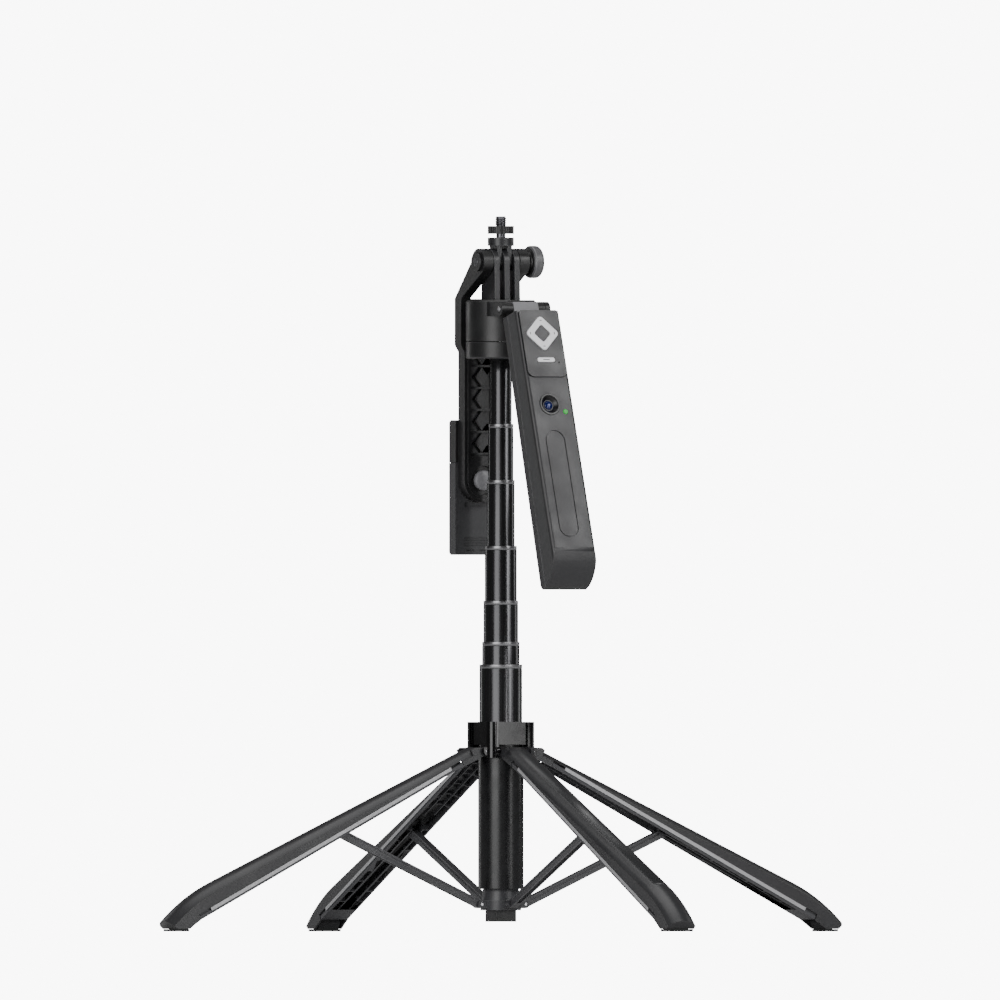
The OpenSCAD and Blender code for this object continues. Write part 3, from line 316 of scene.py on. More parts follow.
@dataclass(frozen=True)
class CoatedGlass(Finish):
    """Lens glass with a blue anti-reflection coat: dark blue, a little clear, with a coloured sheen."""

    coat: str = "#6f8cff"
    clear: float = 0.15
    coat_weight: float = 0.6
    coat_roughness: float = 0.03

    def detail(self, tree: bpy.types.NodeTree, shader: bpy.types.Node) -> None:
        """Sets the clear body and the coloured coat."""
        shader.inputs["Transmission Weight"].default_value = self.clear
        shader.inputs["Coat Weight"].default_value = self.coat_weight
        shader.inputs["Coat Tint"].default_value = linear(self.coat)
        shader.inputs["Coat Roughness"].default_value = self.coat_roughness


@dataclass(frozen=True)
class LitResin(Finish):
    """Tinted resin over a lit diode: it glows softly and evenly."""

    glow: float = 2.0

    def detail(self, tree: bpy.types.NodeTree, shader: bpy.types.Node) -> None:
        """Makes the resin give light."""
        shader.inputs["Emission Color"].default_value = linear(self.colour)
        shader.inputs["Emission Strength"].default_value = self.glow


class Look(enum.Enum):
    """Every finish on the stick."""

    # each edge colour below is partly wear and partly a painted edge highlight
    # black ABS for the head, the arm and the clamp: its mould grain keeps the highlights broad
    BLACK_ABS = MouldedPlastic("black_grained_abs", "#151516", 0.38, light="#1d1d1e", edge="#4a4a4c")
    # the clamp's base is a duller batch, so its grip grooves show
    CLAMP_ABS = MouldedPlastic("dull_grey_clamp_abs", "#343436", 0.5, light="#3c3c3e", edge="#5a5a5c")
    # dark grey ABS of the bar: satin, so it shows a soft gradient down its face
    BAR_ABS = MouldedPlastic("dark_grey_satin_abs", "#28282a", 0.38, light="#2e2e30", edge="#606062",
                             grain_mm=0.4)
    # the remote's casing is a shade darker than the bar around it
    REMOTE_ABS = MouldedPlastic("charcoal_remote_abs", "#1c1c1e", 0.34, light="#222224", edge="#77777a",
                                grain_mm=0.4)
    # the back shell is the same plastic as the front, coloured darker
    BAR_BACK_ABS = MouldedPlastic("charcoal_satin_abs", "#1f1f21", 0.42, light="#262628", grain_mm=0.4)
    # lighter ABS of the hinge block
    BLOCK_ABS = MouldedPlastic("mid_grey_abs", "#77777a", 0.42, light="#838386", edge="#b0b0b2")
    # knurled rim of the thumb knob
    KNOB_ABS = MouldedPlastic("steel_grey_abs", "#565658", 0.4, light="#606062", edge="#9a9a9c")
    # glass-filled nylon of the legs: harder and glossier than ABS, with pale edges that are partly wear and partly
    # a painted highlight
    LEG_NYLON = MouldedPlastic("dark_grey_nylon", "#2a2a2c", 0.32, light="#2f2f31", edge="#6a6a6c",
                               cloud_mm=25.0, grain_depth=0.08, edge_share=0.3)
    # unpainted nylon of the ladder inserts
    RAIL_NYLON = MouldedPlastic("slate_grey_nylon", "#3c3c3f", 0.48, light="#464649", edge="#7c7c7e")
    # satin silver strip along each side of a leg
    STRIP_SILVER = PlatedSteel("satin_silver_strip", "#a8a8aa", 0.4, 0.5, light="#b8b8ba", cloud_mm=4.0)
    # nylon of the spider under the post
    SPIDER_NYLON = MouldedPlastic("dark_slate_nylon", "#333336", 0.38, light="#3d3d40", edge="#8a8a8c")
    # nylon of the camera fork and its adapter
    FORK_NYLON = MouldedPlastic("charcoal_nylon", "#232325", 0.34, light="#2b2b2d", edge="#707072")
    # the collar comes from a polished mould
    COLLAR_ABS = GlossPlastic("piano_black_abs", "#040405", 0.08, ripple_depth=0.004, light="#070708")
    # clear-lacquered black tube of the fixed post: satin, with soft gradients
    POST_LACQUER = GlossPlastic("lacquered_black_tube", "#0e0e10", 0.24, ripple_depth=0.004, light="#131315",
                                ripple_mm=30.0)
    # black anodised drawn tubes: a dark metal, so the soft boxes stand in them as upright bands
    TUBE_ANODISED = DrawnTube("anodised_drawn_tube", "#3c3c3d", 0.2, 0.9)
    # the tubes' lips are cut through the film and left satin
    LIP_POLISHED = PlatedSteel("turned_tube_lip", "#7c7c7e", 0.3, 1.0, light="#8a8a8c", cloud_mm=6.0)
    # powder-coated struts: a little duller than the tubes
    STRUT_COAT = MouldedPlastic("grey_powder_coat", "#3c3c3f", 0.34, light="#474749", edge="#8f8f92",
                                grain_mm=0.8)
    # pins and springs: the brightest metal on the stick
    BRIGHT_STEEL = PlatedSteel("zinc_plated_steel", "#a4a4a8", 0.24, 1.0)
    # the camera screw and bolts: darker nickel
    DARK_STEEL = PlatedSteel("black_nickel_steel", "#5a5a5e", 0.3, 1.0, light="#7a7a7e")
    # the swivel's domed cap: a pale satin dot in the dark clamp
    CAP_GREY = MouldedPlastic("grey_cap_abs", "#707073", 0.36, light="#7c7c7f", edge="#a0a0a2")
    # soft feet and clamp pads: dull, with no highlights
    FOOT_RUBBER = CastRubber("black_moulded_rubber", "#121213", 0.8)
    PAD_RUBBER = CastRubber("grey_silicone_rubber", "#2e2e30", 0.7, light="#3a3a3c")
    # silver paint on the keys: fine flakes, so it is a little metallic
    KEY_SILVER = PlatedSteel("silver_key_paint", "#b4b4b6", 0.34, 0.4, light="#cacacc", cloud_mm=0.8)
    # pad-printed marks on the keys: flat dark ink
    KEY_MARK = MouldedPlastic("dark_pad_print", "#2c2c2f", 0.5, light="#38383b", edge_share=0.0)
    # the middle key is bare plastic, darker than the ring around it
    KEY_DARK = MouldedPlastic("dark_key_abs", "#303032", 0.36, light="#3a3a3c", edge="#7a7a7c", grain_mm=0.3)
    # lens: coated glass at the foot of a black barrel
    LENS_GLASS = CoatedGlass("coated_lens_glass", "#1a2654", 0.12)
    BARREL = MouldedPlastic("black_lens_barrel", "#0a0a0b", 0.3, light="#101012", edge="#3a3a3c",
                            edge_share=0.2)
    # status light: a small green dot with a faint glow
    LED = LitResin("green_led_resin", "#00a428", 0.35, glow=0.12)
    # inside the remote: solder mask over fibreglass, and the stainless can of a coin cell
    BOARD = GlossPlastic("green_solder_mask", "#12402a", 0.3, light="#1b5a3a")
    CELL = PlatedSteel("coin_cell_steel", "#b9b9bc", 0.3, 1.0)


# ------------------------------------------------------------------ meshes
def node_points(node: str) -> list[Vector]:
    """The vertices of a CAD node, in metres."""
    return [v.co for v in frame["nodes"][node].data.vertices]


def radius_between(node: str, low: float, high: float) -> float:
    """The largest distance from the mast's axis of a node's vertices between two heights, in metres."""
    return max(math.hypot(p.x, p.y) for p in node_points(node) if low <= p.z <= high)


def new_object(name: str, mesh: bpy.types.Mesh, looks: Sequence[Look]) -> bpy.types.Object:
    """Links a new object and gives it its materials.

    Args:
        name: the object's name.
        mesh: its mesh.
        looks: its finishes, in the order of its faces' material numbers.

    Returns:
        The object.
    """
    made = bpy.data.objects.new(name, mesh)
    bpy.context.scene.collection.objects.link(made)
    for look in looks:
        mesh.materials.append(look.value.material())
    return made


def smooth_by_angle(mesh: bpy.types.Mesh, degrees: float) -> None:
    """Shades a mesh smooth, with edges kept sharp where its faces meet at more than an angle."""
    mesh.shade_smooth()
    mesh.set_sharp_from_angle(angle=math.radians(degrees))


def revolved(name: str, profile: Sequence[tuple[float, float, int]], look: Sequence[Look],
             place: Matrix = Matrix.Identity(4), sides: int = 96) -> bpy.types.Object:
    """Turns a closed profile round the Z axis.

    Args:
        name: the object's name.
        profile: radius and height in metres, and the material number of the band up to the next point.
        look: the finishes.
        place: where the turned shape goes.
        sides: flats round the shape.

    Returns:
        The object.
    """
    mesh = bmesh.new()
    rings = []
    for radius, height, _ in profile:
        steps = range(sides) if radius > ON_AXIS else range(1)
        rings.append([mesh.verts.new((radius * math.cos(math.tau * k / sides),
                                      radius * math.sin(math.tau * k / sides), height)) for k in steps])
    for index, (_, _, number) in enumerate(profile):
        here, there = rings[index], rings[(index + 1) % len(rings)]
        if len(here) == len(there) == 1:
            continue
        for k in range(sides):
            n = (k + 1) % sides
            ring = [here[k % len(here)], there[k % len(there)], there[n % len(there)], here[n % len(here)]]
            corners = list(dict.fromkeys(ring))
            mesh.faces.new(corners).material_index = number
    bmesh.ops.recalc_face_normals(mesh, faces=mesh.faces)
    data = bpy.data.meshes.new(name)
    mesh.to_mesh(data)
    mesh.free()
    data.transform(place)
    smooth_by_angle(data, 35)
    return new_object(name, data, look)


def swept_wire(name: str, path: Callable[[float], Vector], steps: int, radius: float, look: Look,
               sides: int = 10) -> bpy.types.Object:
    """Sweeps a round wire along a path.

    Args:
        name: the object's name.
        path: gives a point in metres for a share of the length from 0 to 1.
        steps: rings along the wire.
        radius: the wire's radius in metres.
        look: its finish.
        sides: flats round the wire.

    Returns:
        The object.
    """
    mesh = bmesh.new()
    rings = []
    side = Vector((0, 0, 1))
    for k in range(steps + 1):
        here = path(k / steps)
        ahead = (path((k + 1) / steps) - path((k - 1) / steps)).normalized()
        across = ahead.cross(side).normalized()
        over = across.cross(ahead)
        rings.append([mesh.verts.new(here + radius * (math.cos(math.tau * j / sides) * across
                                                      + math.sin(math.tau * j / sides) * over))
                      for j in range(sides)])
    for k in range(steps):
        for j in range(sides):
            n = (j + 1) % sides
            mesh.faces.new((rings[k][j], rings[k][n], rings[k + 1][n], rings[k + 1][j]))
    mesh.faces.new(rings[0])
    mesh.faces.new(rings[-1])
    bmesh.ops.recalc_face_normals(mesh, faces=mesh.faces)
    data = bpy.data.meshes.new(name)
    mesh.to_mesh(data)
    mesh.free()
    smooth_by_angle(data, 40)
    return new_object(name, data, [look])


def softened(node: str, name: str, look: Look, width: float, segments: int = 2,
             angle: float = 32.0) -> bpy.types.Object:
    """Copies a CAD node's shape and rounds its edges as a mould or a tumbler leaves them.

    Args:
        node: the CAD node.
        name: the new piece's name.
        look: its finish.
        width: the rounding's width in millimetres.
        segments: faces across the rounding.
        angle: edges sharper than this many degrees are rounded.

    Returns:
        The rounded piece.
    """
    mesh = bmesh.new()
    mesh.from_mesh(frame["nodes"][node].data)
    bmesh.ops.remove_doubles(mesh, verts=mesh.verts, dist=WELD_MM * MM)
    bmesh.ops.dissolve_limit(mesh, angle_limit=math.radians(FLAT_DEG), verts=mesh.verts, edges=mesh.edges)
    data = bpy.data.meshes.new(name)
    mesh.to_mesh(data)
    mesh.free()
    data.materials.clear()
    for polygon in data.polygons:
        polygon.material_index = 0
    smooth_by_angle(data, angle)
    piece = new_object(name, data, [look, look])
    rounding = piece.modifiers.new("rounding", "BEVEL")
    rounding.width = width * MM
    rounding.segments = segments
    rounding.limit_method = "ANGLE"
    rounding.angle_limit = math.radians(angle)
    rounding.harden_normals = True
    rounding.miter_outer = "MITER_ARC"
    rounding.material = 1
    flats = piece.modifiers.new("flats", "WEIGHTED_NORMAL")
    flats.keep_sharp = True
    applied = bpy.data.meshes.new_from_object(piece.evaluated_get(bpy.context.evaluated_depsgraph_get()))
    piece.modifiers.clear()
    piece.data = applied
    applied.name = name
    # marks the rounded faces that the plastic finishes paint paler, partly as wear and partly as a painted
    # highlight
    edge_wear_and_sheen = applied.attributes.new(EDGE_WEAR_AND_SHEEN, "FLOAT", "FACE")
    edge_wear_and_sheen.data.foreach_set("value", [float(face.material_index) for face in applied.polygons])
    applied.polygons.foreach_set("material_index", [0] * len(applied.polygons))
    applied.materials.pop(index=1)
    return piece


def paint(piece: bpy.types.Object, look: Look, inside: Callable[[bpy.types.MeshPolygon], bool]) -> None:
    """Gives a second finish to some of a piece's faces.

    Args:
        piece: the piece.
        look: the second finish.
        inside: tells whether a face takes it.
    """
    piece.data.materials.append(look.value.material())
    number = len(piece.data.materials) - 1
    for polygon in piece.data.polygons:
        if inside(polygon):
            polygon.material_index = number


# ------------------------------------------------------------------ sub-assemblies
BODY_OF = {node: body for body, nodes in frame["record"]["behaviour"]["bodies"].items() for node in nodes}


@dataclass
class SubAssembly:
    """A group of pieces that is made together."""

    pieces: list[bpy.types.Object] = field(default_factory=list)

    def stand_for(self, piece: bpy.types.Object, *nodes: str) -> bpy.types.Object:
        """Puts a piece in the place of CAD nodes: hides them and sets the piece on their body.

        Args:
            piece: the new piece.
            nodes: the CAD nodes that it stands for.

        Returns:
            The piece.
        """
        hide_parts(*nodes)
        return self.go_with(piece, nodes[0])

    def go_with(self, piece: bpy.types.Object, node: str) -> bpy.types.Object:
        """Lets an extra piece ride on a node's body.

        Args:
            piece: the extra piece.
            node: the CAD node.

        Returns:
            The piece.
        """
        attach(piece, BODY_OF[node])
        self.pieces.append(piece)
        return piece

    def soften(self, node: str, look: Look, width: float, segments: int = 2) -> bpy.types.Object:
        """Replaces a CAD node by its own shape with rounded edges.

        Args:
            node: the CAD node.
            look: the piece's finish.
            width: the rounding's width in millimetres.
            segments: faces across the rounding.

        Returns:
            The piece.
        """
        return self.stand_for(softened(node, node + "_piece", look, width, segments), node)

    def report(self) -> None:
        """Logs each piece with its size."""
        for piece in self.pieces:
            size = [round(side / MM, 1) for side in piece.dimensions]
            LOG.info("%s: %s is %s mm", type(self).__name__, piece.name, size)


@dataclass
class FoldingBase(SubAssembly):
    """The collar, the post, the spider, the four legs and their struts."""

    leg_round: float = 0.45
    rail_round: float = 0.15
    strip_proud: float = 0.03
    post_wall: float = 0.5
    post_soft: float = 0.2

    def build(self) -> None:
        """Makes the hub and the legs."""
        self.soften("hub_collar", Look.COLLAR_ABS, 0.5, 3)
        self.post()
        self.soften("spider", Look.SPIDER_NYLON, 0.25)
        self.soften("base_plug", Look.BLACK_ABS, 0.5, 3)
        self.soften("pivot_pins", Look.BRIGHT_STEEL, 0.15)
        for side in SIDES:
            self.soften("leg_shell_" + side, Look.LEG_NYLON, self.leg_round, 3)
            rail = self.soften("leg_rail_" + side, Look.RAIL_NYLON, self.rail_round, 1)
            across = 1 if side in ("right", "left") else 0
            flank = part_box("leg_shell_" + side)[1][across] + self.strip_proud * MM
            paint(rail, Look.STRIP_SILVER,
                  lambda face, axis=across, reach=flank: abs(face.center[axis]) > reach)
            self.soften("foot_pad_" + side, Look.FOOT_RUBBER, 0.2)
            self.soften("strut_" + side, Look.STRUT_COAT, 0.3)

    def post(self) -> None:
        """Turns the fixed post with a soft lower edge."""
        low, high = (corner.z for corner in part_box("center_post"))
        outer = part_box("center_post")[1].x
        wall = self.post_wall * MM
        soft = self.post_soft * MM
        profile = [
            (outer - wall, low, 0), (outer - soft, low, 0), (outer, low + soft, 0), (outer, high - soft, 0),
            (outer - soft, high, 0), (outer - wall, high, 0),
        ]
        self.stand_for(revolved("center_post_piece", profile, [Look.POST_LACQUER]), "center_post")


@dataclass
class Mast(SubAssembly):
    """The telescopic tubes. All but the last have a bright lip."""

    count: int = 7
    lip_h: float = 2.2
    lip_groove: float = 0.15
    lip_gap: float = 0.05
    wall: float = 0.5
    land_h: float = 8.0
    land_step: float = 0.4
    soft: float = 0.25
    read_h: float = 6.0
    next_low: float = 1.0
    next_high: float = 60.0

    def build(self) -> None:
        """Turns every tube from the frame's own sizes."""
        for index in range(1, self.count + 1):
            self.tube(index)

    def tube(self, index: int) -> None:
        """Turns one tube: bearing end, body, a fine groove and the lip."""
        node = f"tube_{index}"
        low, high = (corner.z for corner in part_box(node))
        body_r = radius_between(node, high - self.read_h * MM, high)
        land_r = radius_between(node, low, low + self.read_h * MM)
        inner_r = body_r - self.wall * MM
        lip_low = high - self.lip_h * MM
        soft = self.soft * MM
        has_lip = index < self.count
        lip_r = inner_r
        if has_lip:
            reach = (high + self.next_low * MM, high + self.next_high * MM)
            lip_r = radius_between(f"tube_{index + 1}", *reach) + self.lip_gap * MM
        shine = 1 if has_lip else 0
        profile = [
            (inner_r, low, 0), (land_r - soft, low, 0), (land_r, low + soft, 0),
            (land_r, low + self.land_h * MM, 0), (body_r, low + (self.land_h + self.land_step) * MM, 0),
            (body_r, lip_low - soft, 0), (body_r - self.lip_groove * MM, lip_low, shine),
            (body_r, lip_low + soft, shine), (body_r, high - soft, shine),
            (body_r - 0.3 * soft, high - 0.3 * soft, shine), (body_r - soft, high, shine),
            (lip_r, high, shine), (lip_r, lip_low, 0), (inner_r, lip_low - soft, 0),
        ]
        piece = revolved(node + "_piece", profile, [Look.TUBE_ANODISED, Look.LIP_POLISHED])
        self.stand_for(piece, node)


@dataclass
class CameraMount(SubAssembly):
    """The panning head, the fork, the adapter with its screw and disc, and the thumb bolt."""

    thread_pitch: float = 1.27
    thread_depth: float = 0.45
    thread_sides: int = 48
    rows_per_pitch: int = 10
    flank_slope: float = 1.25
    crest_share: float = 0.125
    tip_gap: float = 0.2
    tip_taper: float = 0.9
    tip_share: float = 0.84
    neck_read: float = 0.5
    knob_inner: float = 0.5

    def build(self) -> None:
        """Makes the head and all that sits on it."""
        self.soften("head_ring", Look.BLACK_ABS, 0.4, 3)
        self.soften("pan_bolt", Look.BRIGHT_STEEL, 0.2)
        self.soften("head_body", Look.BLACK_ABS, 0.45, 3)
        self.soften("hinge_pin", Look.BRIGHT_STEEL, 0.25, 3)
        self.soften("camera_fork", Look.FORK_NYLON, 0.35, 3)
        self.soften("camera_adapter", Look.FORK_NYLON, 0.3, 3)
        self.soften("lock_disc", Look.BLACK_ABS, 0.2)
        bolt = self.soften("thumb_bolt", Look.DARK_STEEL, 0.2)
        cone_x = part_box("arm")[1].x
        paint(bolt, Look.BLACK_ABS, lambda face: face.center.x > cone_x)
        knob = self.soften("thumb_knob", Look.KNOB_ABS, 0.3)
        inner_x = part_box("thumb_knob")[0].x + self.knob_inner * MM
        paint(knob, Look.BLACK_ABS, lambda face: face.center.x < inner_x)
        self.soften("axle_nut", Look.BLACK_ABS, 0.35, 3)
        self.screw()

    def screw(self) -> None:
        """Cuts the thread on the camera screw's tip as a true helix, above a plain neck."""
        low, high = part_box("stud_screw")
        outer = high.x
        neck_r = radius_between("stud_screw", low.z, low.z + self.neck_read * MM)
        tip_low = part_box("lock_disc")[1].z + self.tip_gap * MM
        steps_round = self.thread_sides
        rows = int((high.z - low.z) / (self.thread_pitch * MM) * self.rows_per_pitch)
        mesh = bmesh.new()
        rings = []
        for row in range(rows + 1):
            z = low.z + (high.z - low.z) * row / rows
            taper = min(1.0, max(0.0, (high.z - z) / (self.tip_taper * MM)))
            ring = []
            for k in range(steps_round):
                phase = (z / (self.thread_pitch * MM) - k / steps_round) % 1.0
                flank = abs(2 * phase - 1)
                share = min(1.0, max(0.0, self.flank_slope * flank - self.crest_share))
                depth = self.thread_depth * MM * share
                radius = (outer - depth) * (self.tip_share + (1.0 - self.tip_share) * taper)
                angle = math.tau * k / steps_round
                radius = radius if z > tip_low else neck_r
                ring.append(mesh.verts.new((radius * math.cos(angle), radius * math.sin(angle), z)))
            rings.append(ring)
        for row in range(rows):
            for k in range(steps_round):
                n = (k + 1) % steps_round
                mesh.faces.new((rings[row][k], rings[row][n], rings[row + 1][n], rings[row + 1][k]))
        mesh.faces.new(rings[0])
        mesh.faces.new(rings[-1])
        bmesh.ops.recalc_face_normals(mesh, faces=mesh.faces)
        data = bpy.data.meshes.new("stud_screw_piece")
        mesh.to_mesh(data)
        mesh.free()
        smooth_by_angle(data, 50)
        self.stand_for(new_object("stud_screw_piece", data, [Look.DARK_STEEL]), "stud_screw")


@dataclass
class PhoneArm(SubAssembly):
    """The swinging arm, and the clamp with its jaw, springs and pads."""

    spring_turns: int = 22
    rings_per_turn: int = 20
    wire_r: float = 0.35

    def build(self) -> None:
        """Makes the arm and the clamp."""
        self.soften("arm", Look.BLACK_ABS, 0.4, 3)
        self.soften("clamp_screw", Look.CAP_GREY, 0.3, 3)
        self.soften("clamp_base", Look.CLAMP_ABS, 0.12, 2)
        self.soften("clamp_jaw", Look.BLACK_ABS, 0.15, 2)
        for node in ("clamp_pad_lower", "clamp_pad_upper"):
            self.soften(node, Look.PAD_RUBBER, 0.3, 3)
        self.springs()

    def springs(self) -> None:
        """Winds the clamp's two tension springs."""
        low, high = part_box("clamp_springs")
        middle_y = (low.y + high.y) / 2
        coil_r = (high.y - low.y) / 2 - self.wire_r * MM
        inset = coil_r + self.wire_r * MM
        for number, centre_x in enumerate((low.x + inset, high.x - inset)):

            def path(share: float, centre_x: float = centre_x) -> Vector:
                """A point of the coil at a share of its length."""
                turn = math.tau * self.spring_turns * share
                rise = low.z + self.wire_r * MM + (high.z - low.z - 2 * self.wire_r * MM) * share
                return Vector((centre_x + coil_r * math.cos(turn), middle_y + coil_r * math.sin(turn), rise))

            coil = swept_wire(f"clamp_spring_{number + 1}", path, self.spring_turns * self.rings_per_turn,
                              self.wire_r * MM, Look.BRIGHT_STEEL, 8)
            self.stand_for(coil, "clamp_springs")


@dataclass
class RemoteBar(SubAssembly):
    """The remote-control bar: shells, remote, keys, lens and status light."""

    block_half: float = 7.9
    lens_r: float = 4.96
    glass_r: float = 2.6
    glass_rise: float = 1.1
    glass_seat: float = 0.1
    dome_step_deg: float = 15.0
    dome_steps: int = 6
    lens_depth: float = 3.9
    lens_lip: float = 0.1
    lens_lip_in: float = 0.2
    cone_depth: float = 1.9
    cone_foot: float = 0.5
    pad_dash: float = 1.5
    shutter_dash: float = 4.2
    mark_out: float = 7.6
    mark_r: float = 0.22
    mark_t: float = 0.03
    mark_sink: float = 0.05
    mark_steps: int = 8

    def build(self) -> None:
        """Makes the bar and what is on it."""
        self.soften("handle_front", Look.BAR_ABS, 0.3, 3)
        self.soften("handle_back", Look.BAR_BACK_ABS, 0.3, 2)
        block = self.soften("hinge_block", Look.BLOCK_ABS, 0.35, 3)
        paint(block, Look.BLACK_ABS, lambda face: abs(face.center.x) > self.block_half * MM)
        self.soften("remote_body", Look.REMOTE_ABS, 0.6, 4)
        self.soften("remote_board", Look.BOARD, 0.1)
        self.soften("remote_cell", Look.CELL, 0.3, 3)
        self.soften("dpad_ring", Look.KEY_SILVER, 0.45, 4)
        self.soften("center_key", Look.KEY_DARK, 0.4, 3)
        self.soften("shutter_key", Look.KEY_SILVER, 0.4, 4)
        self.soften("lens_bezel", Look.BARREL, 0.35, 3)
        self.lens()
        self.soften("status_led", Look.LED, 0.4, 3)
        self.marks()

    def on_face(self, node: str) -> Matrix:
        """The place on the bar's face over a node, with Z outward and X to the right.

        Args:
            node: the CAD node.

        Returns:
            The place as a matrix, with its origin in the middle of the node's outer face.
        """
        press = next(j for j in frame["joints"] if j["child"] == BODY_OF["dpad_ring"])
        outward = -Vector(press["axis"]).normalized()
        right = Vector((1.0, 0.0, 0.0))
        up = outward.cross(right)
        points = node_points(node)
        reach = max(p.dot(outward) for p in points)
        middle = [(max(p.dot(a) for p in points) + min(p.dot(a) for p in points)) / 2 for a in (right, up)]
        origin = right * middle[0] + up * middle[1] + outward * reach
        place = Matrix((right, up, outward)).transposed().to_4x4()
        place.translation = origin
        return place

    def lens(self) -> None:
        """Turns the lens: a black cone that leads down to a small domed glass."""
        place = self.on_face("lens_glass")
        seat = -self.cone_depth - self.glass_seat
        dome = [(self.glass_r * math.cos(a), -self.cone_depth + self.glass_rise * math.sin(a))
                for a in (math.radians(self.dome_step_deg * k) for k in range(self.dome_steps))]
        profile = [
            (0.0, -self.lens_depth, 0), (self.lens_r, -self.lens_depth, 0), (self.lens_r, -self.lens_lip, 0),
            (self.lens_r - self.lens_lip_in, 0.0, 0), (self.glass_r + self.cone_foot, seat, 0),
            (self.glass_r + self.glass_seat, seat, 1),
        ]
        profile += [(r, z, 1) for r, z in dome] + [(0.0, -self.cone_depth + self.glass_rise, 1)]
        scaled = [(r * MM, z * MM, number) for r, z, number in profile]
        piece = revolved("lens_glass_piece", scaled, [Look.BARREL, Look.LENS_GLASS], place)
        self.stand_for(piece, "lens_glass")

    def marks(self) -> None:
        """Prints a small plain dash on each corner of the four-way key, and one along the shutter key."""
        pad = self.on_face("dpad_ring")
        for k in range(4):
            turn = Matrix.Rotation(k * math.pi / 2, 4, "Z")
            out = Matrix.Translation((0.0, self.mark_out * MM, 0.0))
            self.dash(f"pad_mark_{k + 1}", pad @ turn @ out, self.pad_dash, "dpad_ring")
        self.dash("shutter_mark", self.on_face("shutter_key"), self.shutter_dash, "shutter_key")

    def dash(self, name: str, place: Matrix, length: float, node: str) -> None:
        """Lays one thin printed dash with round ends on a key.

        Args:
            name: the piece's name.
            place: its middle, with Z out of the key.
            length: its length in millimetres.
            node: the key that it moves with.
        """
        half = length / 2 - self.mark_r
        ends = [(side * half + self.mark_r * math.cos(a), self.mark_r * math.sin(a))
                for side, start in ((1, -math.pi / 2), (-1, math.pi / 2))
                for a in (start + math.pi * k / self.mark_steps for k in range(self.mark_steps + 1))]
        levels = (-self.mark_sink, self.mark_t)
        mesh = bmesh.new()
        rings = [[mesh.verts.new((x * MM, y * MM, z * MM)) for x, y in ends] for z in levels]
        mesh.faces.new(reversed(rings[0]))
        mesh.faces.new(rings[1])
        for k, (here, there) in enumerate(zip(rings[0], rings[1])):
            n = (k + 1) % len(ends)
            mesh.faces.new((here, rings[0][n], rings[1][n], there))
        data = bpy.data.meshes.new(name)
        mesh.to_mesh(data)
        mesh.free()
        data.transform(place)
        self.go_with(new_object(name, data, [Look.KEY_MARK]), node)


# ------------------------------------------------------------------ studio
@dataclass(frozen=True)
class SoftBox:
    """A rectangular studio light: where it stands, its size in metres and its power in watts."""

    name: str
    place: Point
    size: tuple[float, float]
    power: float


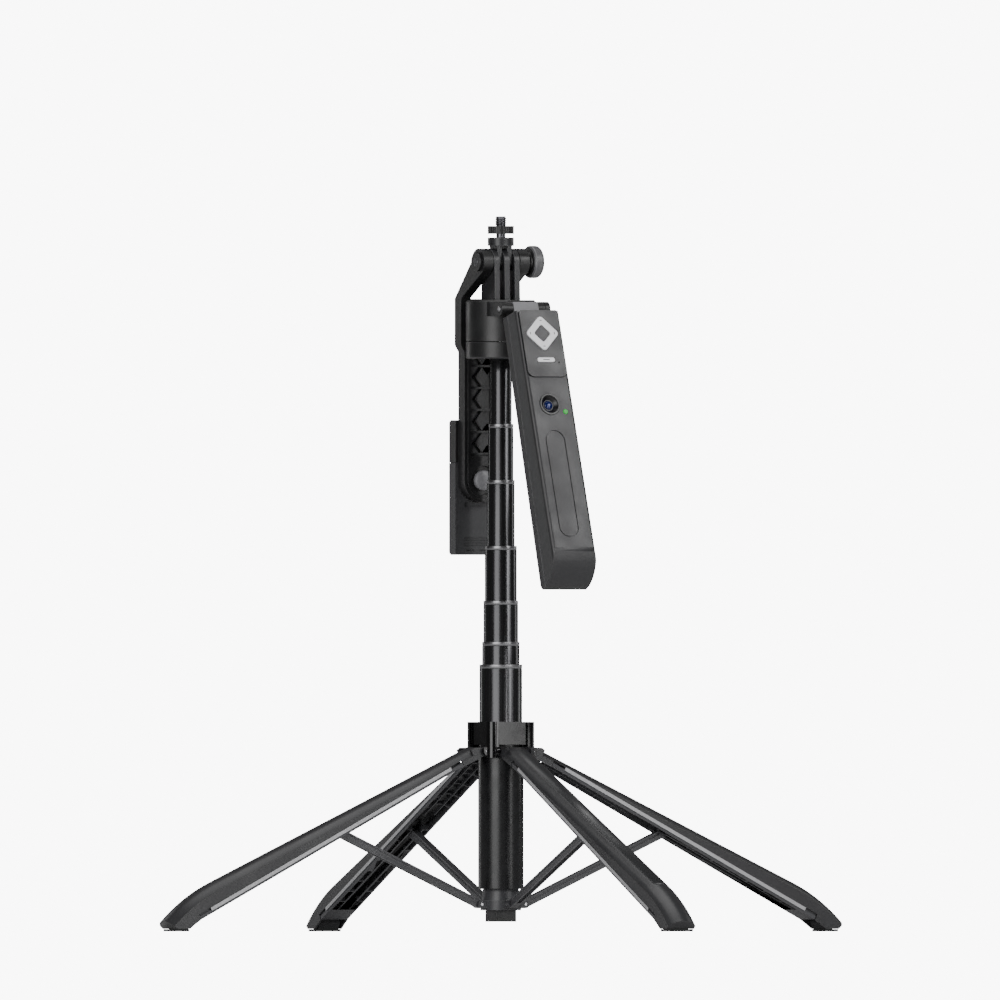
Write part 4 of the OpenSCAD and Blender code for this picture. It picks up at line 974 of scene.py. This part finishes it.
@dataclass
class Studio:
    """The floor, the lights and the camera."""

    view_deg: float = -28.5
    view_height: float = 0.2416
    view_width: float = 0.56
    side_shift: float = -0.00045
    distance: float = 2.5
    aim: Point = (0.0, 0.0, 0.2)
    floor_half: float = 3.0
    room_light: float = 0.1
    backdrop_light: float = 9.0
    far: float = 20.0
    boxes: tuple[SoftBox, ...] = (
        SoftBox("broad_left", (-1.35, -0.86, 0.35), (1.0, 1.8), 24.0),
        SoftBox("thin_front", (0.15, -1.6, 0.35), (0.08, 1.8), 5.0),
        SoftBox("strip_right", (0.66, -1.41, 0.35), (0.16, 1.8), 6.0),
        SoftBox("rim_right", (1.55, 0.1, 0.35), (0.25, 1.8), 4.0),
        SoftBox("rim_back", (-0.45, 1.53, 0.35), (0.25, 1.8), 3.0),
        SoftBox("face_fill", (0.76, -1.14, 1.1), (0.5, 0.5), 5.0),
        SoftBox("top", (0.0, 0.1, 1.7), (1.2, 1.2), 9.0),
    )

    def build(self) -> None:
        """Makes the floor, the world, the lights and the camera."""
        self.floor()
        self.world()
        for box in self.boxes:
            self.light(box)
        self.camera()

    def floor(self) -> None:
        """Lays a plain pale floor."""
        mesh = bpy.data.meshes.new("floor")
        half = self.floor_half
        corners = [(-half, -half, 0), (half, -half, 0), (half, half, 0), (-half, half, 0)]
        mesh.from_pydata(corners, [], [(0, 1, 2, 3)])
        mesh.materials.append(Finish("pale_floor_paint", "#ececec", 0.7).material())
        made = bpy.data.objects.new("floor", mesh)
        bpy.context.scene.collection.objects.link(made)

    def world(self) -> None:
        """Fills the room with a dim even light behind a white background."""
        world = bpy.data.worlds.new("studio")
        bpy.context.scene.world = world
        world.use_nodes = True
        tree = world.node_tree
        tree.nodes.clear()
        dim = add_node(tree, "ShaderNodeBackground",
                       {"Color": linear("#ffffff"), "Strength": self.room_light})
        bright = add_node(tree, "ShaderNodeBackground",
                          {"Color": linear("#ffffff"), "Strength": self.backdrop_light})
        seen = add_node(tree, "ShaderNodeLightPath").outputs["Is Camera Ray"]
        mix = add_node(tree, "ShaderNodeMixShader",
                       links={0: seen, 1: dim.outputs["Background"], 2: bright.outputs["Background"]})
        add_node(tree, "ShaderNodeOutputWorld", links={"Surface": mix.outputs["Shader"]})

    def light(self, box: SoftBox) -> None:
        """Sets up one soft box, turned towards the stick."""
        data = bpy.data.lights.new(box.name, "AREA")
        data.shape = "RECTANGLE"
        data.size, data.size_y = box.size
        data.energy = box.power
        made = bpy.data.objects.new(box.name, data)
        bpy.context.scene.collection.objects.link(made)
        made.location = box.place
        made.rotation_euler = (Vector(self.aim) - Vector(box.place)).to_track_quat("-Z", "Y").to_euler()

    def camera(self) -> None:
        """Sets up the level camera that looks at the stick from its left front."""
        data = bpy.data.cameras.new("camera")
        data.type = "ORTHO"
        data.ortho_scale = self.view_width
        data.clip_end = self.far
        made = bpy.data.objects.new("camera", data)
        bpy.context.scene.collection.objects.link(made)
        turn = math.radians(self.view_deg)
        right = Vector((math.cos(turn), math.sin(turn), 0.0))
        towards = Vector((-math.sin(turn), math.cos(turn), 0.0))
        made.location = Vector((0, 0, self.view_height)) + right * self.side_shift - towards * self.distance
        made.rotation_euler = (math.radians(90), 0.0, turn)
        bpy.context.scene.camera = made


def assemblies() -> Iterable[SubAssembly]:
    """The sub-assemblies, from the ground up."""
    return (FoldingBase(), Mast(), CameraMount(), PhoneArm(), RemoteBar())


def main() -> None:
    """Builds the studio and every sub-assembly."""
    logging.basicConfig(level=logging.INFO, format="%(message)s")
    Studio().build()
    for assembly in assemblies():
        assembly.build()
        assembly.report()


if __name__ == "__main__":
    main()
